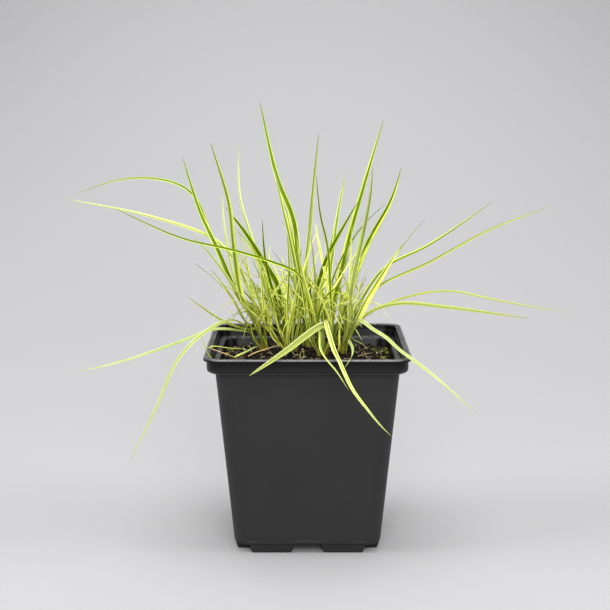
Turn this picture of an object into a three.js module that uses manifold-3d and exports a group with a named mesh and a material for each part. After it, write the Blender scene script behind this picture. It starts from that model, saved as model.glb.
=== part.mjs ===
// Variegated purple moor grass in a square black nursery pot: pot, soil and forty tillers.
// Millimetres, +Z up. The origin is the middle of the pot's underside, on the surface it stands on.
import * as THREE from "three";
import { mergeVertices } from "three/addons/utils/BufferGeometryUtils.js";
import Module from "manifold-3d";

const wasm = await Module();
wasm.setup();

// Driving dimensions of the pot
const potHeight = 130;
const lipHalf = 65; // half the width across the flange of the rim
const bandHalf = 63; // half the width across the band under the flange
const mouthHalf = 61; // half the inner width at the rim
const wallTopHalf = 58; // half the width of the tapered wall under the band
const wallFootHalf = 47;
const bandFoot = 120; // height of the band's lower edge
const lipThick = 2;
const wallThick = 1.2;
const floorHeight = 5; // underside of the raised floor
const cornerRadius = 11;
const footSpan = [9, 37]; // each foot along its side, measured from the side's middle
const footDepth = 14;
const footSlant = 1.3; // how far a foot's sides draw in towards its sole
const footInset = 0.4; // how far a foot stands in from the wall's lower edge
const bury = 0.5; // how far the feet and their hollows run into the floor
const drainRadius = 4;
const drainPlaces = [[0, 0], [25, 25], [-25, 25], [-25, -25], [25, -25]];

// Driving dimensions of the soil
const restGap = 0.3; // what lies on or in another piece keeps this much clear of it
const soilEdge = 114.5; // height of the soil at the pot's wall
const soilMound = 8.5; // how much higher it stands round the crown
const soilReach = { x: 62, y: 58 };
const soilRings = [1, 0.92, 0.8, 0.68, 0.56, 0.44, 0.31, 0.17]; // rings of its surface, as shares of its half
const holeDepth = 10;

// Driving dimensions of the plant
const crown = { x: -2, y: 9, halfX: 31, halfY: 23, tillers: 40 };
const shoots = [[-29, 12], [-18, 23], [-11, 1], [2, 15], [11, -7], [23, 3], [16, 22]];
const gather = 0.5; // how far each tiller is drawn to its shoot
const sheath = { foot: 1, neck: 1.15, top: 1, rise: 13, spread: 9, fromCrown: 0.24, fromShoot: 0.9 };
const sheathSides = 6;
const goldenAngle = 137.508;
const leavesPerTiller = 5;
const leafClearance = 0.35;
const highestRoot = 0.9; // where the first leaf leaves its sheath, as a share of the sheath's length
const rootStep = 0.13; // how much lower each next one leaves it
const keel = { least: 0.6, perWidth: 0.15 }; // depth of a leaf's section
const sectionCarry = 1.5; // weight of the way the section before it lies
const sheathRoom = { foot: 3, neck: 3, top: 2.6 }; // widths other tillers' leaves keep clear of
const tillerSeed = 7;
const leafSeed = 17;

// The short leaves that fill the tuft: each draw's least value and range, lengths in mm, angles in degrees
const shortLeaf = {
  fan: 3.4, // radians of the fan it heads into
  curlyShare: 0.4,
  long: [24, 30],
  lean: [4, 26], // from upright, where it leaves the sheath
  flat: { bend: [8, 50], width: [1.6, 1.2], sway: 0.25 },
  curly: { bend: [45, 90], width: [1, 0.5], sway: 0.6 },
  root: [0.5, 0.45],
  roll: 60,
  twist: 120,
  lookUp: 0.3,
  reach: { side: 44, front: -42 }, // how far a tip may stand from the crown's middle and towards the viewer
  attempts: 30,
};

// The leaves that reach out of the tuft: tiller, width, face, twist and the points each passes through.
// face is the way its upper side looks, in degrees: 0 is up and 90 is towards the viewer.
const reachingLeaves = [
  // tall leaves, from the left
  [30, 3.6, 80, 10, [[-48, 16, 161], [-60, 20, 188], [-72, 28, 213], [-84, 36, 249]]],
  [25, 3.8, 90, -10, [[-42, 0, 157], [-47, -10, 191], [-50, -24, 225], [-60, -46, 264]]],
  [35, 2.0, 70, 20, [[-46, 34, 158], [-57, 56, 198], [-60, 76, 226]]],
  [9, 3.6, 90, 10, [[-19, 13, 162], [-30, 15, 182], [-41, 17, 199], [-55, 20, 217]]],
  [17, 2.2, 80, 0, [[-26, 6, 163], [-34, 8, 186], [-47, 10, 203]]],
  [17, 2.4, 80, 0, [[-35, 9, 143], [-47, 8, 162], [-62, 7, 184], [-76, 6, 200]]],
  [14, 2.4, 90, 20, [[-27, 28, 159], [-36, 40, 188], [-46, 54, 219], [-48, 72, 257]]],
  [1, 4.2, 90, 10, [[-6, 14, 161], [-9, 18, 206], [-20, 24, 235], [-32, 34, 286]]],
  [7, 3.4, 80, 10, [[-6, 0, 164], [-11, -2, 197], [-17, -4, 223], [-22, -6, 246]]],
  [6, 2.6, 90, 0, [[-7, 22, 160], [-10, 36, 189], [-14, 50, 213]]],
  [4, 2.4, 80, 0, [[-21, 2, 157], [-27, -10, 184], [-29, -22, 214]]],
  [28, 2.0, 90, 0, [[-13, -14, 156], [-12, -16, 182], [-13, -18, 204]]],
  [2, 2.0, 90, 0, [[-3, -4, 158], [-5, -12, 177], [-4, -24, 196]]],
  [0, 3.4, 90, 20, [[-1, 8, 166], [2, 0, 210], [5, -14, 246], [7, -28, 268]]],
  [18, 2.0, 90, 0, [[15, -9, 162], [13, -20, 193], [8, -36, 217], [5, -58, 245]]],
  [16, 2.8, 90, 0, [[14, 21, 154], [18, 36, 192], [22, 52, 215], [27, 72, 236]]],
  [11, 2.6, 80, 0, [[10, 40, 157], [17, 72, 186], [23, 106, 210]]],
  [8, 4.0, 90, 15, [[19, 16, 161], [28, 24, 197], [39, 38, 233], [52, 54, 273]]],
  [5, 3.0, 80, 10, [[6, 4, 156], [12, 5, 182], [25, 8, 207], [34, 10, 222]]],
  [26, 3.0, 90, 0, [[28, -3, 161], [35, -18, 201], [39, -34, 228], [40, -50, 249]]],
  [29, 3.6, 80, 10, [[30, 21, 164], [41, 32, 191], [57, 48, 218], [65, 62, 240]]],
  // leaves that lean over the pot's back rim
  [27, 2.6, 45, 0, [[-18, 42, 150], [-28, 70, 158], [-40, 96, 142]]],
  [32, 3.0, 45, 0, [[4, 42, 152], [8, 70, 162], [6, 98, 150]]],
  [37, 2.6, 45, 0, [[22, 38, 148], [32, 60, 158], [38, 88, 144]]],
  // leaves that arch out to the right
  [26, 3.0, 60, 0, [[31, 0, 145], [45, -2, 165], [79, -8, 183], [117, -14, 205], [157, -22, 222]]],
  [21, 3.0, 60, 20, [[33, 13, 150], [50, 16, 175], [82, 24, 191], [126, 36, 219]]],
  [34, 3.0, 50, 10, [[37, 6, 144], [56, 5, 155], [90, 0, 163], [125, -10, 158], [168, -28, 153]]],
  [39, 5.0, 90, 10, [[31, -9, 142], [39, -12, 159], [51, -14, 180], [61, -15, 196]]],
  [39, 3.6, 50, 30, [[33, -6, 142], [41, -4, 150], [60, -8, 156], [92, -12, 154], [144, -20, 148]]],
  // leaves folded over, which hang across the rim at the front
  [39, 3.8, 60, 0,
    [[31, -14, 145], [34, -20, 147], [41, -34, 144], [49, -48, 141],
     [57, -65, 136], [74, -84, 126], [100, -104, 106]]],
  [31, 4.0, 60, 0,
    [[14, -16, 145], [12, -22, 147], [16, -58, 136], [19, -75, 132],
     [27, -89, 117], [36, -96, 106], [42, -99, 99], [50, -101, 91]]],
  [31, 5.2, 60, 0, [[14, -17, 141], [10, -26, 145], [-13, -60, 135], [-26, -81, 130], [-35, -97, 127]]],
  [31, 2.0, 60, 0,
    [[8, -20, 141], [8, -30, 140], [8, -58, 136], [11, -74, 133], [18, -83, 126], [25, -90, 116]]],
  [39, 2.4, 60, 0, [[27, -36, 135], [28, -52, 135], [27, -67, 133], [25, -70, 130], [22, -72, 126]]],
  // leaves that arch out to the left
  [38, 3.8, 60, 10,
    [[-42, 2, 140], [-49, -2, 144], [-63, -10, 140],
     [-83, -18, 122], [-98, -26, 90], [-115, -34, 56]]],
  [38, 3.0, 50, 0, [[-46, 14, 134], [-63, 24, 133], [-84, 26, 125], [-122, 30, 111], [-160, 32, 101]]],
  [30, 2.4, 40, 0, [[-41, 19, 134], [-58, 26, 139], [-82, 34, 154]]],
  [25, 1.8, 60, 0, [[-37, 0, 139], [-42, -3, 145], [-49, -8, 160], [-63, -14, 181]]],
  [36, 2.4, 60, 10,
    [[1, -18, 153], [-5, -22, 176], [-24, -26, 186],
     [-49, -30, 194], [-80, -34, 202], [-124, -40, 223]]],
  [22, 3.0, 60, 10, [[-35, 24, 150], [-48, 27, 179], [-64, 31, 194], [-106, 38, 208], [-168, 46, 220]]],
  [35, 2.8, 60, 10,
    [[-46, 36, 154], [-64, 46, 190], [-78, 52, 221],
     [-93, 54, 230], [-124, 58, 232], [-162, 62, 221]]],
  // thin bent leaves at the tuft's edge
  [39, 1.8, 60, 0, [[29, -14, 149], [25, -20, 171], [16, -26, 189]]],
  [20, 1.6, 60, 0, [[-23, -8, 152], [-29, -12, 170], [-36, -16, 187]]],
  [20, 1.6, 60, 0, [[-34, -14, 149], [-45, -20, 160], [-53, -25, 157], [-44, -30, 150]]],
  [33, 1.8, 60, 0, [[-30, -10, 152], [-37, -14, 173], [-43, -17, 181], [-37, -20, 191]]],
  [33, 1.8, 60, 0, [[-35, -10, 147], [-43, -16, 163], [-56, -20, 171]]],
  [23, 1.6, 90, 0, [[6, -14, 159], [4, -18, 185], [2, -22, 204]]],
  [15, 1.8, 50, 0, [[-5, -10, 159], [-2, -16, 175], [7, -22, 168], [21, -28, 155]]],
];

const potPlastic = new THREE.MeshStandardMaterial({ color: 0x2b2b2d, roughness: 0.55, metalness: 0 });
const soilCrumb = new THREE.MeshStandardMaterial({ color: 0x2a211a, roughness: 1, metalness: 0 });
const leafGreen = new THREE.MeshStandardMaterial({ color: 0xa9c048, roughness: 0.6, metalness: 0 });

// A closed mesh from its points and triangles, as a solid to join and cut
function solidOf(points, triangles) {
  return new wasm.Manifold(
    new wasm.Mesh({
      numProp: 3,
      vertProperties: new Float32Array(points.flat()),
      triVerts: new Uint32Array(triangles),
    }),
  );
}

function solidOfGeometry(geometry) {
  const bare = geometry.clone();
  bare.deleteAttribute("normal");
  bare.deleteAttribute("uv");
  const merged = mergeVertices(bare, 1e-3);
  return new wasm.Manifold(
    new wasm.Mesh({
      numProp: 3,
      vertProperties: new Float32Array(merged.attributes.position.array),
      triVerts: new Uint32Array(merged.index.array),
    }),
  );
}

function namedMesh(name, solid, material) {
  const made = solid.getMesh();
  const geometry = new THREE.BufferGeometry();
  geometry.setAttribute("position", new THREE.BufferAttribute(new Float32Array(made.vertProperties), 3));
  geometry.setIndex(new THREE.BufferAttribute(new Uint32Array(made.triVerts), 1));
  geometry.computeVertexNormals();
  const mesh = new THREE.Mesh(geometry, material);
  mesh.name = name;
  return mesh;
}

// Rings of equally many points, each joined to the next, with a flat or pointed end at both ends
function loft(rings) {
  const around = rings[0].length;
  const points = rings.flat();
  const triangles = [];
  for (let r = 0; r + 1 < rings.length; r++) {
    for (let i = 0; i < around; i++) {
      const a = r * around + i;
      const b = r * around + ((i + 1) % around);
      triangles.push(a, b, b + around, a, b + around, a + around);
    }
  }
  for (const [ring, start, turned] of [[rings[0], 0, true], [rings.at(-1), points.length - around, false]]) {
    const middle = [0, 1, 2].map((axis) => ring.reduce((sum, p) => sum + p[axis], 0) / around);
    points.push(middle);
    for (let i = 0; i < around; i++) {
      const a = start + i;
      const b = start + ((i + 1) % around);
      triangles.push(...(turned ? [b, a, points.length - 1] : [a, b, points.length - 1]));
    }
  }
  return solidOf(points, triangles);
}

// A point turned about the pot's middle by so many right angles
function turned([x, y, z], quarters) {
  const cos = Math.cos((quarters * Math.PI) / 2);
  const sin = Math.sin((quarters * Math.PI) / 2);
  return [x * cos - y * sin, x * sin + y * cos, z];
}

// A square with round corners, as a ring of points at one height
function roundedSquare(half, radius, z, perCorner = 4, perSide = 1) {
  const ring = [];
  for (let corner = 0; corner < 4; corner++) {
    for (let i = 0; i <= perCorner; i++) {
      const angle = (i / perCorner) * (Math.PI / 2);
      const x = half - radius + radius * Math.cos(angle);
      const y = half - radius + radius * Math.sin(angle);
      ring.push(turned([x, y, z], corner));
    }
    for (let i = 1; i < perSide; i++) {
      ring.push(turned([(half - radius) * (1 - (2 * i) / perSide), half, z], corner));
    }
  }
  return ring;
}

// Half the width of the tapered wall at a height
function wallHalf(z) {
  return wallFootHalf + ((wallTopHalf - wallFootHalf) * (z - floorHeight)) / (bandFoot - floorHeight);
}

// The pot's shell: outside from the floor up to the flange, over the rim and down inside to the floor
function potShell() {
  const innerLedge = bandFoot + wallThick;
  const innerFloor = floorHeight + wallThick;
  const innerRadius = cornerRadius - wallThick;
  const profile = [
    [wallHalf(floorHeight) - 1, floorHeight, cornerRadius - 1],
    [wallHalf(floorHeight + 1), floorHeight + 1, cornerRadius],
    [wallTopHalf, bandFoot, cornerRadius],
    [wallTopHalf + 2.6, bandFoot, cornerRadius],
    [bandHalf - 0.9, bandFoot + 0.8, cornerRadius],
    [bandHalf, bandFoot + 3, cornerRadius],
    [bandHalf, potHeight - lipThick, cornerRadius],
    [lipHalf - 0.4, potHeight - lipThick, cornerRadius],
    [lipHalf, potHeight - lipThick + 0.5, cornerRadius],
    [lipHalf, potHeight - 0.5, cornerRadius],
    [lipHalf - 0.6, potHeight, cornerRadius],
    [mouthHalf + 0.4, potHeight, cornerRadius - 3],
    [mouthHalf, potHeight - 0.5, cornerRadius - 3],
    [mouthHalf - 0.3, innerLedge + 1, cornerRadius - 3],
    [mouthHalf - 1.2, innerLedge, cornerRadius - 3],
    [wallTopHalf - wallThick, innerLedge, innerRadius],
    [wallHalf(innerFloor) - wallThick, innerFloor, innerRadius],
  ];
  return loft(profile.map(([half, z, radius]) => roundedSquare(half, radius, z)));
}

// One foot: a box from its sole up to the given height, whose sides draw in towards the sole
function footBlock(side, quarters, inset, sole, top) {
  const [from, to] = side > 0 ? footSpan : [-footSpan[1], -footSpan[0]];
  const outer = -wallHalf(floorHeight) + footInset;
  const ring = (z) => {
    const drawn = inset + footSlant * (1 - (z - sole) / (floorHeight - sole));
    const corners = [
      [from + drawn, outer + drawn, z],
      [to - drawn, outer + drawn, z],
      [to - drawn, outer + footDepth - drawn, z],
      [from + drawn, outer + footDepth - drawn, z],
    ];
    return corners.map((corner) => turned(corner, quarters));
  };
  return loft([ring(sole), ring(top)]);
}

// The same block by every foot: two on each side, which meet near the corners
function feet(inset, sole, top) {
  const blocks = [];
  for (let quarters = 0; quarters < 4; quarters++) {
    blocks.push(footBlock(-1, quarters, inset, sole, top), footBlock(1, quarters, inset, sole, top));
  }
  return blocks.reduce((whole, block) => whole.add(block));
}

function pot() {
  const soles = feet(0, 0, floorHeight + bury);
  const pockets = feet(wallThick, wallThick, floorHeight + wallThick + bury);
  let shell = potShell().add(soles).subtract(pockets);
  for (const [x, y] of drainPlaces) {
    const hole = new THREE.CylinderGeometry(drainRadius, drainRadius, 4 * wallThick, 12);
    hole.rotateX(Math.PI / 2);
    hole.translate(x, y, floorHeight + wallThick / 2);
    shell = shell.subtract(solidOfGeometry(hole));
  }
  return namedMesh("pot", shell, potPlastic);
}

// Height of the soil's surface: a low mound round the crown, with small lumps
function soilHeight(x, y) {
  const far = ((x - crown.x) / soilReach.x) ** 2 + ((y - crown.y) / soilReach.y) ** 2;
  const broad = 0.5 * Math.sin(0.33 * x + 0.9) * Math.sin(0.29 * y + 0.4);
  const small = 0.3 * Math.sin(0.71 * x - 0.53 * y);
  return soilEdge + soilMound * Math.exp(-1.6 * far) + broad + small;
}

function soil(tillers) {
  const bottom = floorHeight + wallThick + restGap;
  const half = (z) => wallHalf(z) - wallThick - restGap;
  const radius = cornerRadius - wallThick - restGap;
  const top = half(soilEdge);
  const rings = [roundedSquare(half(bottom), radius, bottom, 3, 4)];
  for (const share of soilRings) {
    const flat = roundedSquare(top * share, radius * share, 0, 3, 4);
    rings.push(flat.map(([x, y]) => [x, y, soilHeight(x, y)]));
  }
  let body = loft(rings);
  for (const tiller of tillers) {
    const radiusOfHole = sheath.neck + restGap / Math.cos(Math.PI / sheathSides);
    const deep = holeDepth + restGap;
    const hole = new THREE.CylinderGeometry(radiusOfHole, radiusOfHole, 2 * deep, sheathSides);
    hole.rotateX(Math.PI / 2);
    hole.translate(tiller.x, tiller.y, tiller.soil);
    body = body.subtract(solidOfGeometry(hole));
  }
  return namedMesh("soil", body, soilCrumb);
}

// Evenly spread numbers from 0 to 1, the same on each run
function seeded(seed) {
  let state = seed;
  return () => {
    state = (state * 1664525 + 1013904223) % 4294967296;
    return state / 4294967296;
  };
}

// Tillers stand on a spiral over the crown's oval, each drawn to its shoot and leaning out of it
function placeTillers() {
  const draw = seeded(tillerSeed);
  const tillers = [];
  for (let k = 0; k < crown.tillers; k++) {
    const out = Math.sqrt((k + 0.5) / crown.tillers);
    const angle = THREE.MathUtils.degToRad(goldenAngle * k);
    let x = crown.x + crown.halfX * out * Math.cos(angle);
    let y = crown.y + crown.halfY * out * Math.sin(angle);
    const distance = (shoot) => (shoot[0] - x) ** 2 + (shoot[1] - y) ** 2;
    const shoot = shoots.reduce((best, other) => (distance(other) < distance(best) ? other : best));
    x += gather * (shoot[0] - x);
    y += gather * (shoot[1] - y);
    const soilTop = soilHeight(x, y);
    const neck = new THREE.Vector3(x, y, soilTop + 1);
    const lean = new THREE.Vector3(
      sheath.fromCrown * (x - crown.x) + sheath.fromShoot * (x - shoot[0]),
      sheath.fromCrown * (y - crown.y) + sheath.fromShoot * (y - shoot[1]),
      sheath.rise + sheath.spread * draw(),
    );
    tillers.push({
      x,
      y,
      soil: soilTop,
      foot: new THREE.Vector3(x, y, soilTop - holeDepth),
      neck,
      top: neck.clone().add(lean),
      leaves: [],
    });
  }
  return tillers;
}

// Share of a leaf's full width at a share of its length: narrower in the sheath, and tapered to its tip
function girth(share) {
  return Math.min(1, 0.62 + 2.2 * share) * (1 - share ** 2.6) ** 0.8;
}

// A leaf's middle line: a centripetal Catmull-Rom curve through its points, with two stations to a span
function stations(points) {
  const curve = new THREE.CatmullRomCurve3(points, false, "centripetal");
  return curve.getPoints(2 * (points.length - 1));
}

// The least room between two lines of stretches, less half their widths
function roomBetween(a, b) {
  let least = Infinity;
  const u = new THREE.Vector3();
  const v = new THREE.Vector3();
  const w = new THREE.Vector3();
  for (let i = 0; i + 1 < a.line.length; i++) {
    u.subVectors(a.line[i + 1], a.line[i]);
    for (let j = 0; j + 1 < b.line.length; j++) {
      v.subVectors(b.line[j + 1], b.line[j]);
      w.subVectors(a.line[i], b.line[j]);
      const uu = u.dot(u);
      const vv = v.dot(v);
      const uv = u.dot(v);
      const uw = u.dot(w);
      const vw = v.dot(w);
      const clamp = THREE.MathUtils.clamp;
      let s = clamp((uv * vw - vv * uw) / Math.max(uu * vv - uv * uv, 1e-9), 0, 1);
      const t = clamp((uv * s + vw) / vv, 0, 1);
      s = clamp((uv * t - uw) / uu, 0, 1);
      w.addScaledVector(u, s).addScaledVector(v, -t);
      const halves = (Math.max(a.widths[i], a.widths[i + 1]) + Math.max(b.widths[j], b.widths[j + 1])) / 2;
      least = Math.min(least, w.length() - halves);
    }
  }
  return least;
}

function makeLeaf(width, face, roll, twist, points) {
  const line = stations(points);
  const widths = line.map((_, i) => width * girth(i / (line.length - 1)));
  return { width, face, roll, twist, points, line, widths };
}

function addReachingLeaves(tillers) {
  for (const [k, width, face, twist, points] of reachingLeaves) {
    const tiller = tillers[k];
    const root = tiller.neck.clone().lerp(tiller.top, highestRoot - rootStep * tiller.leaves.length);
    const angle = THREE.MathUtils.degToRad(face);
    const looks = new THREE.Vector3(0, -Math.sin(angle), Math.cos(angle));
    const passes = points.map((point) => new THREE.Vector3(...point));
    tiller.leaves.push(makeLeaf(width, looks, 0, twist, [root, ...passes]));
  }
}

// One short leaf of the tuft, drawn at random: it leaves the sheath upright and bends over outwards
function drawShortLeaf(tiller, draw) {
  const between = ([least, range]) => least + range * draw();
  const outward = Math.atan2(tiller.top.y - tiller.neck.y, tiller.top.x - tiller.neck.x);
  const heading = outward + (draw() - 0.5) * shortLeaf.fan;
  const kind = draw() < shortLeaf.curlyShare ? shortLeaf.curly : shortLeaf.flat;
  const long = between(shortLeaf.long);
  const lean = THREE.MathUtils.degToRad(between(shortLeaf.lean));
  const bend = THREE.MathUtils.degToRad(between(kind.bend));
  const width = between(kind.width);
  const root = tiller.neck.clone().lerp(tiller.top, between(shortLeaf.root));
  const ahead = new THREE.Vector3(Math.cos(heading), Math.sin(heading), 0);
  const aside = new THREE.Vector3(-Math.sin(heading), Math.cos(heading), 0);
  const reach = (from, angle) => {
    const run = (long / 2) * Math.sin(angle);
    const rise = (long / 2) * Math.cos(angle);
    return new THREE.Vector3(from.x + run * ahead.x, from.y + run * ahead.y, from.z + rise);
  };
  const middle = reach(root, lean);
  const tip = reach(middle, lean + bend).addScaledVector(aside, kind.sway * long * (draw() - 0.5));
  return { width, ahead, points: [root, middle, tip] };
}

// Short leaves fill each tiller up to its number, each drawn again until it is clear of the other tillers
function addShortLeaves(tillers) {
  const draw = seeded(leafSeed);
  for (const tiller of tillers) {
    tiller.stem = {
      line: [tiller.foot, tiller.neck, tiller.top],
      widths: [sheathRoom.foot, sheathRoom.neck, sheathRoom.top],
    };
  }
  const isClear = (leaf, own) =>
    tillers.every(
      (other) =>
        other === own ||
        [other.stem, ...other.leaves].every((standing) => roomBetween(leaf, standing) >= leafClearance),
    );
  for (let rank = 0; rank < leavesPerTiller; rank++) {
    for (const tiller of tillers) {
      if (tiller.leaves.length > rank) continue;
      for (let attempt = 0; attempt < shortLeaf.attempts; attempt++) {
        const { width, ahead, points } = drawShortLeaf(tiller, draw);
        const tip = points[2];
        const { side, front } = shortLeaf.reach;
        if (Math.abs(tip.x - crown.x) > side || tip.y < front || tip.z < potHeight) continue;
        const looks = new THREE.Vector3(-ahead.x, -ahead.y, shortLeaf.lookUp);
        const leaf = makeLeaf(width, looks, 0, 0, points);
        if (!isClear(leaf, tiller)) continue;
        leaf.roll = (draw() - 0.5) * shortLeaf.roll;
        leaf.twist = (draw() - 0.5) * shortLeaf.twist;
        tiller.leaves.push(leaf);
        break;
      }
    }
  }
}

// A leaf as a solid: a three-sided section, two edges and a keel, carried along its middle line to a point.
// Each section lies square to the leaf's face and partly as the one before it does, so that no section
// swings round where the leaf heads the way its face looks.
function leafSolid(leaf) {
  const last = leaf.line.length - 1;
  const points = [];
  const triangles = [];
  const along = new THREE.Vector3();
  const level = new THREE.Vector3();
  leaf.line.forEach((centre, i) => {
    if (i === last) {
      points.push(centre.toArray());
      return;
    }
    along.subVectors(leaf.line[Math.min(i + 1, last)], leaf.line[Math.max(i - 1, 0)]).normalize();
    const square = new THREE.Vector3().crossVectors(along, leaf.face);
    if (square.dot(level) < 0) square.negate();
    level.multiplyScalar(sectionCarry).add(square).projectOnPlane(along).normalize();
    const turn = THREE.MathUtils.degToRad(leaf.roll + (leaf.twist * i) / last);
    const across = level.clone().applyAxisAngle(along, turn);
    const up = new THREE.Vector3().crossVectors(across, along);
    const half = leaf.widths[i] / 2;
    const deep = keel.least + keel.perWidth * leaf.widths[i];
    points.push(centre.clone().addScaledVector(across, half).addScaledVector(up, deep / 3).toArray());
    points.push(centre.clone().addScaledVector(across, -half).addScaledVector(up, deep / 3).toArray());
    points.push(centre.clone().addScaledVector(up, (-2 * deep) / 3).toArray());
  });
  for (let i = 0; i < last; i++) {
    for (let side = 0; side < 3; side++) {
      const a = 3 * i + side;
      const b = 3 * i + ((side + 1) % 3);
      if (i + 1 === last) triangles.push(b, a, 3 * last);
      else triangles.push(b, a, a + 3, b, a + 3, b + 3);
    }
  }
  triangles.push(0, 1, 2);
  return solidOf(points, triangles);
}

// A tiller: its rolled sheath with every leaf fused where it leaves the sheath
function tillerMesh(tiller, k) {
  const ring = (centre, radius) =>
    Array.from({ length: sheathSides }, (_, i) => {
      const angle = (2 * Math.PI * i) / sheathSides;
      return [centre.x + radius * Math.sin(angle), centre.y - radius * Math.cos(angle), centre.z];
    });
  const { foot, neck, top } = tiller;
  const stem = loft([ring(foot, sheath.foot), ring(neck, sheath.neck), ring(top, sheath.top)]);
  const solid = tiller.leaves.reduce((whole, leaf) => whole.add(leafSolid(leaf)), stem);
  return namedMesh("tiller_" + String(k + 1).padStart(2, "0"), solid, leafGreen);
}

const tillers = placeTillers();
addReachingLeaves(tillers);
addShortLeaves(tillers);

const plantInPot = new THREE.Group();
plantInPot.add(pot(), soil(tillers), ...tillers.map(tillerMesh));

export default plantInPot;
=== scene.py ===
# A young clump of variegated purple moor grass in a square black nursery pot.
# The pot, the soil and each tiller stand for the solids of the same name; lengths are in metres.
from math import radians

import bpy
import numpy as np
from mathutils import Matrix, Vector


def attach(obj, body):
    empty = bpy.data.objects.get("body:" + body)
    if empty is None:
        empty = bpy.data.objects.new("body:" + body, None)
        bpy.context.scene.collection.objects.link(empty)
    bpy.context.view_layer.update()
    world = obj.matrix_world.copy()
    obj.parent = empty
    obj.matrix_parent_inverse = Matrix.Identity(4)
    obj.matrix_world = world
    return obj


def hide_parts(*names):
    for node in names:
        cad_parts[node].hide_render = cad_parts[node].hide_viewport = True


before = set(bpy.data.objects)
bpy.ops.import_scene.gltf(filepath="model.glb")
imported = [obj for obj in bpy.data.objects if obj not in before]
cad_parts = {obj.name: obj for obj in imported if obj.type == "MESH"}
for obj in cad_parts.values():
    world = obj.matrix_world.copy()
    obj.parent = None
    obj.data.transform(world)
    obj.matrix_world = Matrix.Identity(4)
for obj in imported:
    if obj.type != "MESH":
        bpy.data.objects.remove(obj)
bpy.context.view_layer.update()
mm = 0.001
print("solids loaded:", len(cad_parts))


# Meshes

# Vectors drawn to a length of one
def unit(vectors):
    return vectors / np.linalg.norm(vectors, axis=-1, keepdims=True)


# Every new shape is a row of rings of points, closed at both ends by one point.
# rings has the shape (count, rows, around, 3) and ends (count, 2, 3), so that many like shapes
# are joined at once. A ring runs so that its next point crossed with the way along faces outwards.
def tubes(rings, ends):
    count, rows, around, _ = rings.shape
    perTube = rows * around + 2
    start = np.arange(count)[:, None, None] * perTube
    row = np.arange(rows - 1)[None, :, None] * around
    here = np.arange(around)[None, None, :]
    after = (here + 1) % around
    low = start + row
    high = low + around
    quads = np.stack([low + here, low + after, high + after, high + here], -1).reshape(-1, 4)
    last = start + (rows - 1) * around
    foot = np.broadcast_to(start + rows * around, (count, 1, around))
    tip = foot + 1
    triangles = np.concatenate([
        np.stack([start + after, start + here, foot], -1).reshape(-1, 3),
        np.stack([last + here, last + after, tip], -1).reshape(-1, 3),
    ])
    points = np.concatenate([rings.reshape(count, -1, 3), ends], 1).reshape(-1, 3)
    return points, quads, triangles


# Round tubes along many lines at once: lines has the shape (count, rows, 3) and radii (count, rows).
# Each point of a ring is the line's own, plus the radius times aside by the cosine and up by the sine.
def tubesAlong(lines, radii, around):
    along = unit(np.gradient(lines, axis=1))
    aside = unit(np.cross(along, (0.0, 0.13, 0.99)))  # off the upright, so that no fibre runs along it
    up = np.cross(along, aside)
    turn = np.linspace(0, 2 * np.pi, around, endpoint=False)[:, None]
    out = aside[:, :, None] * np.cos(turn) + up[:, :, None] * np.sin(turn)
    rings = lines[:, :, None] + radii[..., None, None] * out
    return tubes(rings, lines[:, [0, -1]])


lumpShape = {
    "rows": 3,
    "around": 6,
    "rough": 0.35,  # the most that a point stands off the ball, and that one at an end does
    "endRough": 0.25,
    "flattest": 0.55,
}


# Rough lumps: each point of a ball stands off its middle by a draw of its own, and each lump is squashed
# and turned at random
def lumps(centres, sizes, draw):
    count = len(centres)
    rows, around, rough, endRough = (lumpShape[key] for key in ("rows", "around", "rough", "endRough"))
    polar = np.pi * np.arange(1, rows + 1)[:, None] / (rows + 1)
    turn = 2 * np.pi * np.arange(around) / around
    ball = np.stack(np.broadcast_arrays(
        np.sin(polar) * np.cos(turn), np.sin(polar) * np.sin(turn), -np.cos(polar)), -1)
    rings = ball * (1 + draw.uniform(-rough, rough, (count, rows, around, 1)))
    ends = np.array([(0, 0, -1), (0, 0, 1)]) * (1 + draw.uniform(-endRough, endRough, (count, 2, 1)))
    squash = draw.uniform(lumpShape["flattest"], 1.0, (count, 3)) * sizes[:, None] / 2
    axes = np.linalg.qr(draw.normal(size=(count, 3, 3)))[0]
    axes *= np.linalg.det(axes)[:, None, None]
    rings = np.einsum("nij,nraj->nrai", axes, rings * squash[:, None, None]) + centres[:, None, None]
    ends = np.einsum("nij,nej->nei", axes, ends * squash[:, None]) + centres[:, None]
    return tubes(rings, ends)


# Points, quads and triangles of several shapes as one shape
def joined(shapes):
    starts = np.cumsum([0] + [len(points) for points, _, _ in shapes[:-1]])
    points = np.concatenate([shape[0] for shape in shapes])
    quads = np.concatenate([shape[1] + start for shape, start in zip(shapes, starts)])
    triangles = np.concatenate([shape[2] + start for shape, start in zip(shapes, starts)])
    return points, quads, triangles


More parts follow.
